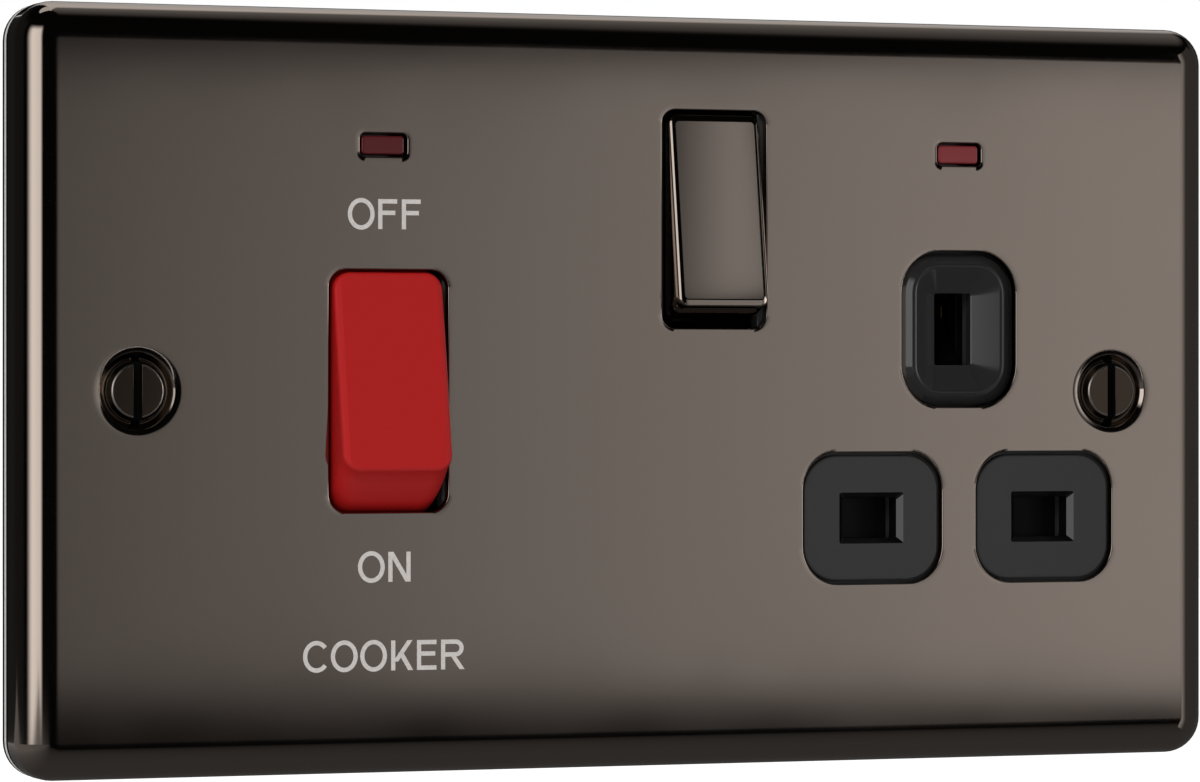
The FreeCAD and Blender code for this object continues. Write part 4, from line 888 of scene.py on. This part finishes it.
def rod(tree, radius, length, side):
    """Cylinder that stands on the seat of the screw, or hangs below it."""
    sizes = {"Vertices": HEAD_STEPS, "Radius": radius, "Depth": length}
    cylinder = add_node(tree, "GeometryNodeMeshCylinder", {}, sizes)
    return moved(tree, cylinder.outputs[0], times(tree, length, side / 2))


SCREW_SIZES = ("Head Radius", "Head Height", "Shank Radius", "Shank Length", "Slot Width", "Slot Depth",
               "Pitch", "Thread Radius")
screw_tree, given = start_tree("slotted_screw", SCREW_SIZES)
head = rod(screw_tree, given["Head Radius"], given["Head Height"], 1)
slot_sides = {"X": times(screw_tree, given["Head Radius"], SLOT_OVERRUN), "Y": given["Slot Width"],
              "Z": times(screw_tree, given["Slot Depth"], 2.0)}
slot_size = add_node(screw_tree, "ShaderNodeCombineXYZ", {}, slot_sides)
slot = add_node(screw_tree, "GeometryNodeMeshCube", {}, {"Size": slot_size.outputs[0]})
slot = moved(screw_tree, slot.outputs[0], given["Head Height"])
head = add_node(screw_tree, "GeometryNodeMeshBoolean", {"operation": "DIFFERENCE"}, {0: head, 1: slot})
shank = rod(screw_tree, given["Shank Radius"], given["Shank Length"], -1)
turns = worked(screw_tree, "DIVIDE", given["Shank Length"], given["Pitch"])
thread = swept(screw_tree, given["Shank Radius"], turns, given["Shank Length"], given["Thread Radius"])
thread = moved(screw_tree, thread, times(screw_tree, given["Shank Length"], -1.0))
joined = add_node(screw_tree, "GeometryNodeJoinGeometry", {}, {0: [head.outputs[0], shank, thread]})
end_tree(screw_tree, given, joined.outputs[0])

for node, (head_radius, head_height, shank_radius, slot_width, slot_depth) in MACHINE_SCREWS.items():
    boxes = loose_parts(node)
    seats = [((low.x + high.x) / 2, high.y - head_height, (low.z + high.z) / 2) for low, high in boxes]
    length = boxes[0][1].y - boxes[0][0].y - head_height - THREAD_DEPTH
    sizes = (head_radius, head_height, shank_radius - THREAD_DEPTH, length, slot_width, slot_depth, PITCH,
             THREAD_DEPTH)
    values = {name: size * MM for name, size in zip(SCREW_SIZES, sizes)}
    values["Turn From"] = (-math.pi / 2, 0.0, 0.0)
    values["Turn To"] = (-math.pi / 2, math.pi, 0.0)
    values["Finish"] = zinc
    stand_for(grown(node + "_set", screw_tree, seats, values, SCREW_CREASE), node)
dress("weld_nuts", "weld_nut_set", NUT_EDGE, zinc)

# Wall gasket: a soft strip round the rim that seals the plate against the wall.
# It is die cut from pale foam sheet, with a black layer on the wall side; the black layer on the plate side is
# painted shade, a dark sheet where the gap at the plate's rim lies in shadow.
GASKET_INSET = 0.07
GASKET_OPENING = ((0, 0), 127.0, 73.0, 3.0)
FOAM = (RIM + 0.5, RIM + 1.25)

# Foam is matt and pale, with fine open cells along the cut edge.
foam = start_material("pale_foam_sheet", "d2d0cc", {"Roughness": 0.9})
vary(foam, grain(foam, 0.35, 0.03), "Base Color", "c4c2be", "dddbd7")
# The black layers are dead black with hardly any shine; on the plate side this is painted shade.
black_gasket_layer = start_material("black_layers_and_painted_shade", "0c0c0d", {"Roughness": 0.8, "Specular IOR Level": 0.1})
GASKET_LAYERS = {"gasket_plate_adhesive": (black_gasket_layer, (RIM, FOAM[0])), "gasket_foam": (foam, FOAM),
                 "gasket_wall_adhesive": (black_gasket_layer, (FOAM[1], 0.0))}
for name, (material, depths) in GASKET_LAYERS.items():
    mesh = bmesh.new()
    rings = [add_ring(mesh, plate_outline(GASKET_INSET), depth) for depth in depths]
    rings += [add_ring(mesh, rounded_outline(*GASKET_OPENING), depth) for depth in reversed(depths)]
    loft(mesh, rings + rings[:1])
    stand_for(make_piece(name, mesh, material), "wall_gasket")

# Fixing screws: two raised countersunk slotted screws that hold the unit to its wall box.
# They are turned from steel and plated with the plate, and sit upright in its dimples as fitted.
HEAD_RAISE = 0.2
HEAD_TOP = 3.05
HEAD_RADIUS = 3.5
HEAD_ROUND = 0.2
HEAD_GAP = 0.06
DRIVE_WIDTH = 1.0
DRIVE_DEPTH = 1.3
NECK = 1.55
SHANK = 1.75
SHANK_PITCH = 0.8
SHANK_END = 18.0
SHANK_START = SHEET_BACK + EDGE_ROLL
SCREW_TOP = FRONT - HEAD_RAISE
HIGHLIGHT_BANDS = (0, 1, 3)
HEAD_SOFT_PAST = 60.0
HEAD_CREASE = 35.0

# Plated screws are duller and browner than the plate, since they are tumbled and not polished by hand.
screw_nickel = start_material("tumbled_black_nickel", "51463d", {"Metallic": 1.0, "Roughness": 0.17})
grain(screw_nickel, 1.0, 0.002)
# Painted highlight: the round edges of each head take a lighter metal, which draws the bright rings that light
# makes on them.
painted_highlight_metal = start_material("painted_highlight_edge_metal", "c8c0b8", {"Metallic": 1.0, "Roughness": 0.34})
# The sawn slot is rough; its near black colour is painted shade in the narrow slot.
slot_painted_shade = start_material("slot_painted_shade", "0f0e0d", {"Metallic": 0.5, "Roughness": 0.5})

head_back = FRONT + DIMPLE_RADIUS - HEAD_RADIUS - HEAD_GAP
neck_at = head_back + HEAD_RADIUS - NECK
profile = [(HEAD_TOP - HEAD_ROUND, SCREW_TOP), (HEAD_TOP - HEAD_ROUND / 3, SCREW_TOP + HEAD_ROUND / 3),
           (HEAD_TOP, SCREW_TOP + HEAD_ROUND), (HEAD_RADIUS - HEAD_ROUND / 2, head_back - HEAD_ROUND),
           (HEAD_RADIUS, head_back), (NECK, neck_at), (NECK, SHANK_START)]
at = SHANK_START
while at < SHANK_END - SHANK_PITCH:
    profile += [(SHANK - THREAD_DEPTH, at + SHANK_PITCH / 4), (SHANK, at + SHANK_PITCH / 2)]
    at += SHANK_PITCH
profile += [(SHANK - THREAD_DEPTH, SHANK_END - JOIN), (SHANK - 2 * THREAD_DEPTH, SHANK_END)]
mesh = bmesh.new()
cuts = bmesh.new()
drive = Matrix.Diagonal((DRIVE_WIDTH * MM, 2 * DRIVE_DEPTH * MM, 3 * HEAD_RADIUS * MM, 1.0))
for side in (-1, 1):
    centre = (side * FIXING_X, 0)
    rings = [add_ring(mesh, round_outline(centre, radius), depth) for radius, depth in profile]
    # The edge bands get the lighter metal of the painted highlight.
    for band, (near, far) in enumerate(zip(rings, rings[1:])):
        for face in bridge(mesh, near, far):
            face.material_index = 1 if band in HIGHLIGHT_BANDS else 0
    mesh.faces.new(rings[0])
    mesh.faces.new(rings[-1])
    place = Matrix.Translation(Vector((side * FIXING_X, SCREW_TOP, 0)) * MM)
    bmesh.ops.create_cube(cuts, size=1.0, matrix=place @ drive)
blank = make_piece("fixing_screw_pair", mesh, screw_nickel)
blank.data.materials.append(painted_highlight_metal)
blank.modifiers.clear()
cutter = make_piece("drive_cutter", cuts, slot_painted_shade)
cut = blank.modifiers.new("drive", "BOOLEAN")
cut.object = cutter
cut.material_mode = "TRANSFER"
soften(blank, HEAD_ROUND / 2, HEAD_SOFT_PAST)
baked(blank)
bpy.data.objects.remove(cutter)
stand_for(level_flats(creased(blank, HEAD_CREASE)), "fixing_screws")

# Studio, in metres: a pale floor well below the unit, and a white surround that the camera sees behind it.
# A dark tent, seen by gloss alone, carries the light panels that the plating shows.
# Near the unit hang a dark card below it, a grey one that the socket rocker mirrors, and two small flags.
FLOOR_Z = -0.25
FLOOR_HALF = 6.0
FLOOR_LIFT = 0.8
AMBIENT = 0.4
TENT_RADIUS = 3.0
TENT_DARK = 0.004
TENT_STEP = 4.0
TENT_PARTS = (((-95.0, 125.0), (-88.0, 88.0)), ((125.0, 181.0), (-88.0, 88.0)),
              ((-178.0, -95.0), (-88.0, 68.0)))


def stage_piece(name, mesh, material, gloss_only):
    piece = object_of(name, mesh, material)
    for ray in ("camera", "diffuse", "shadow", "transmission", "volume_scatter") if gloss_only else ():
        setattr(piece, "visible_" + ray, False)
    piece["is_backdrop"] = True


def stage_paint(name):
    """Empty material for the studio; gives it and its tree."""
    material = bpy.data.materials.new(name)
    material.use_nodes = True
    material.cycles.emission_sampling = "NONE"
    material.node_tree.nodes.clear()
    return material, material.node_tree


def glowing(tree, strength, under=None):
    """Plain glow of a given strength, over another surface where there is one."""
    glow = add_node(tree, "ShaderNodeEmission", {}, {"Strength": strength})
    if under:
        glow = add_node(tree, "ShaderNodeAddShader", {}, {0: glow.outputs[0], 1: under})
    add_node(tree, "ShaderNodeOutputMaterial", {}, {"Surface": glow.outputs[0]})


def seen_directly(tree):
    """One where the camera looks, straight, by gloss or through glass, and nought elsewhere."""
    path = add_node(tree, "ShaderNodeLightPath", {}, {})
    seen = path.outputs["Is Camera Ray"]
    for ray in ("Is Glossy Ray", "Is Transmission Ray"):
        seen = worked(tree, "MAXIMUM", seen, path.outputs[ray])
    return seen


def sheet(points):
    """Flat face through points in metres."""
    mesh = bmesh.new()
    mesh.faces.new([mesh.verts.new(point) for point in points])
    return mesh


floor_paint, tree = stage_paint("pale_floor")
paint = add_node(tree, "ShaderNodeBsdfDiffuse", {}, {"Color": linear("d8d8d8")})
glowing(tree, times(tree, seen_directly(tree), FLOOR_LIFT), paint.outputs[0])
floor_span = (-FLOOR_HALF, FLOOR_HALF)
floor_corners = [(x, y, FLOOR_Z) for x, y in rectangle(floor_span, floor_span)]
stage_piece("pale_floor", sheet(floor_corners), floor_paint, False)

world = bpy.data.worlds.new("white_surround")
bpy.context.scene.world = world
world.use_nodes = True
background = world.node_tree.nodes["Background"]
background.inputs["Color"].default_value = (1, 1, 1, 1)
level = graded(world.node_tree, seen_directly(world.node_tree), (0.0, 1.0), (AMBIENT, 1.0))
world.node_tree.links.new(level, background.inputs["Strength"])

tent_cloth, tree = stage_paint("tent_with_panels")
axes = object_axes(tree)
azimuth = worked(tree, "ARCTAN2", axes["X"], times(tree, axes["Y"], -1.0))
azimuth = worked(tree, "DEGREES", azimuth)
elevation = worked(tree, "ARCSINE", times(tree, axes["Z"], 1 / TENT_RADIUS))
elevation = worked(tree, "DEGREES", elevation)

# Each panel: its two azimuths, how soft each edge is, its two elevations likewise, its left and right level
PANELS = {
    "main": ((13.1, 30.5), (0.3, 2.0), (-3.82, 4.15), (0.2, 0.15), (0.18, 0.72)),
    "right_soft_box": ((40.0, 76.0), (9.0, 6.0), (-7.0, 9.0), (3.0, 4.0), (3.0, 3.0)),
    "right_wall": ((80.0, 124.0), (6.0, 2.0), (-30.0, 30.0), (8.0, 8.0), (0.07, 0.07)),
    "left_soft_box": ((-75.5, -34.0), (13.0, 5.0), (-30.0, 30.0), (8.0, 8.0), (2.1, 1.6)),
    "left_wall": ((-178.0, -100.0), (2.0, 6.0), (-40.0, 40.0), (10.0, 10.0), (0.015, 0.015)),
    "ceiling": ((42.0, 182.0), (12.0, 1.0), (50.0, 92.0), (10.0, 1.0), (0.075, 0.36)),
    "back_wall": ((136.0, 182.0), (8.0, 1.0), (26.0, 92.0), (10.0, 1.0), (0.75, 0.75)),
}
total = TENT_DARK
for azimuths, azimuth_soft, elevations, elevation_soft, levels in PANELS.values():
    light = graded(tree, azimuth, azimuths, levels)
    for value, edges, softs in ((azimuth, azimuths, azimuth_soft), (elevation, elevations, elevation_soft)):
        for edge, soft, ends in zip(edges, softs, ((0.0, 1.0), (1.0, 0.0))):
            step = graded(tree, value, (edge - soft, edge + soft), ends, "SMOOTHSTEP")
            light = times(tree, light, step)
    total = worked(tree, "ADD", total, light)
glowing(tree, total)


def tent_patch(mesh, azimuths, elevations):
    """Part of a sphere about the unit, between two azimuths and two elevations."""
    columns = round((azimuths[1] - azimuths[0]) / TENT_STEP)
    rows = round((elevations[1] - elevations[0]) / TENT_STEP)
    grid = []
    for row in range(rows + 1):
        up = math.radians(elevations[0] + (elevations[1] - elevations[0]) * row / rows)
        line = []
        for column in range(columns + 1):
            turn = math.radians(azimuths[0] + (azimuths[1] - azimuths[0]) * column / columns)
            toward = Vector((math.sin(turn) * math.cos(up), -math.cos(turn) * math.cos(up), math.sin(up)))
            line.append(mesh.verts.new(toward * TENT_RADIUS))
        grid.append(line)
    for low, high in zip(grid, grid[1:]):
        for at in range(columns):
            mesh.faces.new((low[at], low[at + 1], high[at + 1], high[at]))


mesh = bmesh.new()
for azimuths, elevations in TENT_PARTS:
    tent_patch(mesh, azimuths, elevations)
stage_piece("dark_tent", mesh, tent_cloth, True)

CARD_BELOW = -0.12
BELOW_HALF = 1.2
BELOW_BACK = 1.2
BELOW_SPAN = (-0.6, -0.05)
BELOW_LEVELS = (0.004, 0.08)
BELOW_LEFT = (-0.3, -0.1)
BELOW_LEFT_LEVELS = (0.16, 0.0)
below_paint, tree = stage_paint("dark_card")
axes = object_axes(tree)
front_to_back = graded(tree, axes["Y"], BELOW_SPAN, BELOW_LEVELS)
glowing(tree, worked(tree, "ADD", front_to_back, graded(tree, axes["X"], BELOW_LEFT, BELOW_LEFT_LEVELS)))
below = rectangle((-BELOW_HALF, BELOW_HALF), (-BELOW_HALF, BELOW_BACK))
stage_piece("dark_card_below", sheet([(x, y, CARD_BELOW) for x, y in below]), below_paint, True)

CARD_AT = Vector((62.6, FRONT - 133.5, 68.3)) * MM
CARD_HALF = (0.01, 0.015)
CARD_LEVELS = (0.035, 0.565)
CARD_GRADE = 0.005
card_paint, tree = stage_paint("grey_card")
span = [CARD_AT.x + side * CARD_GRADE for side in (-1, 1)]
glowing(tree, graded(tree, object_axes(tree)["X"], span, CARD_LEVELS))
toward = Vector((SOCKET_SWITCH[0], FRONT, SOCKET_SWITCH[1])) * MM - CARD_AT
facing = toward.normalized().to_track_quat("Z", "Y").to_matrix().to_4x4()
mesh = sheet([(x * CARD_HALF[0], y * CARD_HALF[1], 0) for x, y in rectangle((-1, 1), (-1, 1))])
mesh.transform(Matrix.Translation(CARD_AT) @ facing)
stage_piece("grey_card_above", mesh, card_paint, True)

FLAG_X = 0.097
FLAG_SPAN = (FRONT * MM - 0.049, FRONT * MM - 0.002)
FLAG_HALF = 0.06
FLAG_GRADE = 0.022
FLAG_LEVELS = (0.56, 0.08)
flag_paint, tree = stage_paint("dark_flag")
glowing(tree, graded(tree, object_axes(tree)["Y"], (FLAG_SPAN[0], FLAG_SPAN[0] + FLAG_GRADE), FLAG_LEVELS))
flag = rectangle(FLAG_SPAN, (-FLAG_HALF, FLAG_HALF))
stage_piece("dark_flag_right", sheet([(FLAG_X, y, z) for y, z in flag]), flag_paint, True)

TOP_FLAG_X = (-0.01, 0.045)
TOP_FLAG_Y = FRONT * MM - 0.02
TOP_FLAG_Z = (0.0413, 0.06)
top_flag_paint, tree = stage_paint("black_flag")
glowing(tree, TENT_DARK)
top_flag = rectangle(TOP_FLAG_X, TOP_FLAG_Z)
stage_piece("black_flag_above", sheet([(x, TOP_FLAG_Y, z) for x, z in top_flag]), top_flag_paint, True)

LAMPS = {"key_lamp": ((-1.2, -1.6, 1.4), 0.9, 26.0), "back_lamp": ((0.8, 1.6, 1.5), 1.0, 22.0),
         "low_lamp": ((-0.5, -0.9, -0.2), 0.35, 2.5)}


def lamp(name, at, size, power):
    """Round soft lamp that looks at the unit and is not mirrored by it."""
    light = bpy.data.lights.new(name, "AREA")
    light.shape = "DISK"
    light.size = size
    light.energy = power
    piece = linked(name, light)
    piece.location = at
    piece.rotation_mode = "QUATERNION"
    piece.rotation_quaternion = (-Vector(at)).to_track_quat("-Z", "Y")
    piece.visible_glossy = False
    piece.visible_camera = False


for name, (at, size, power) in LAMPS.items():
    lamp(name, at, size, power)

# Camera: level with the unit and a little to its left, far off with the long lens of the photograph.
# It aims just behind the middle of the plate, so that the plate fills the frame from edge to edge.
EYE = Vector((-234.4, FRONT - 595.3, 0.0)) * MM
AIM = Vector((-2.34, FRONT + 7.0, 0.0)) * MM
SENSOR = 36.0
LENS = 166.3
NEAREST = 0.01
camera = bpy.data.cameras.new("camera")
camera.sensor_width = SENSOR
camera.lens = LENS
camera.clip_start = NEAREST
viewer = linked("camera", camera)
viewer.location = EYE
viewer.rotation_mode = "QUATERNION"
viewer.rotation_quaternion = (AIM - EYE).to_track_quat("-Z", "Y")
bpy.context.scene.camera = viewer
bpy.context.scene.view_settings.view_transform = "Standard"

low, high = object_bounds()
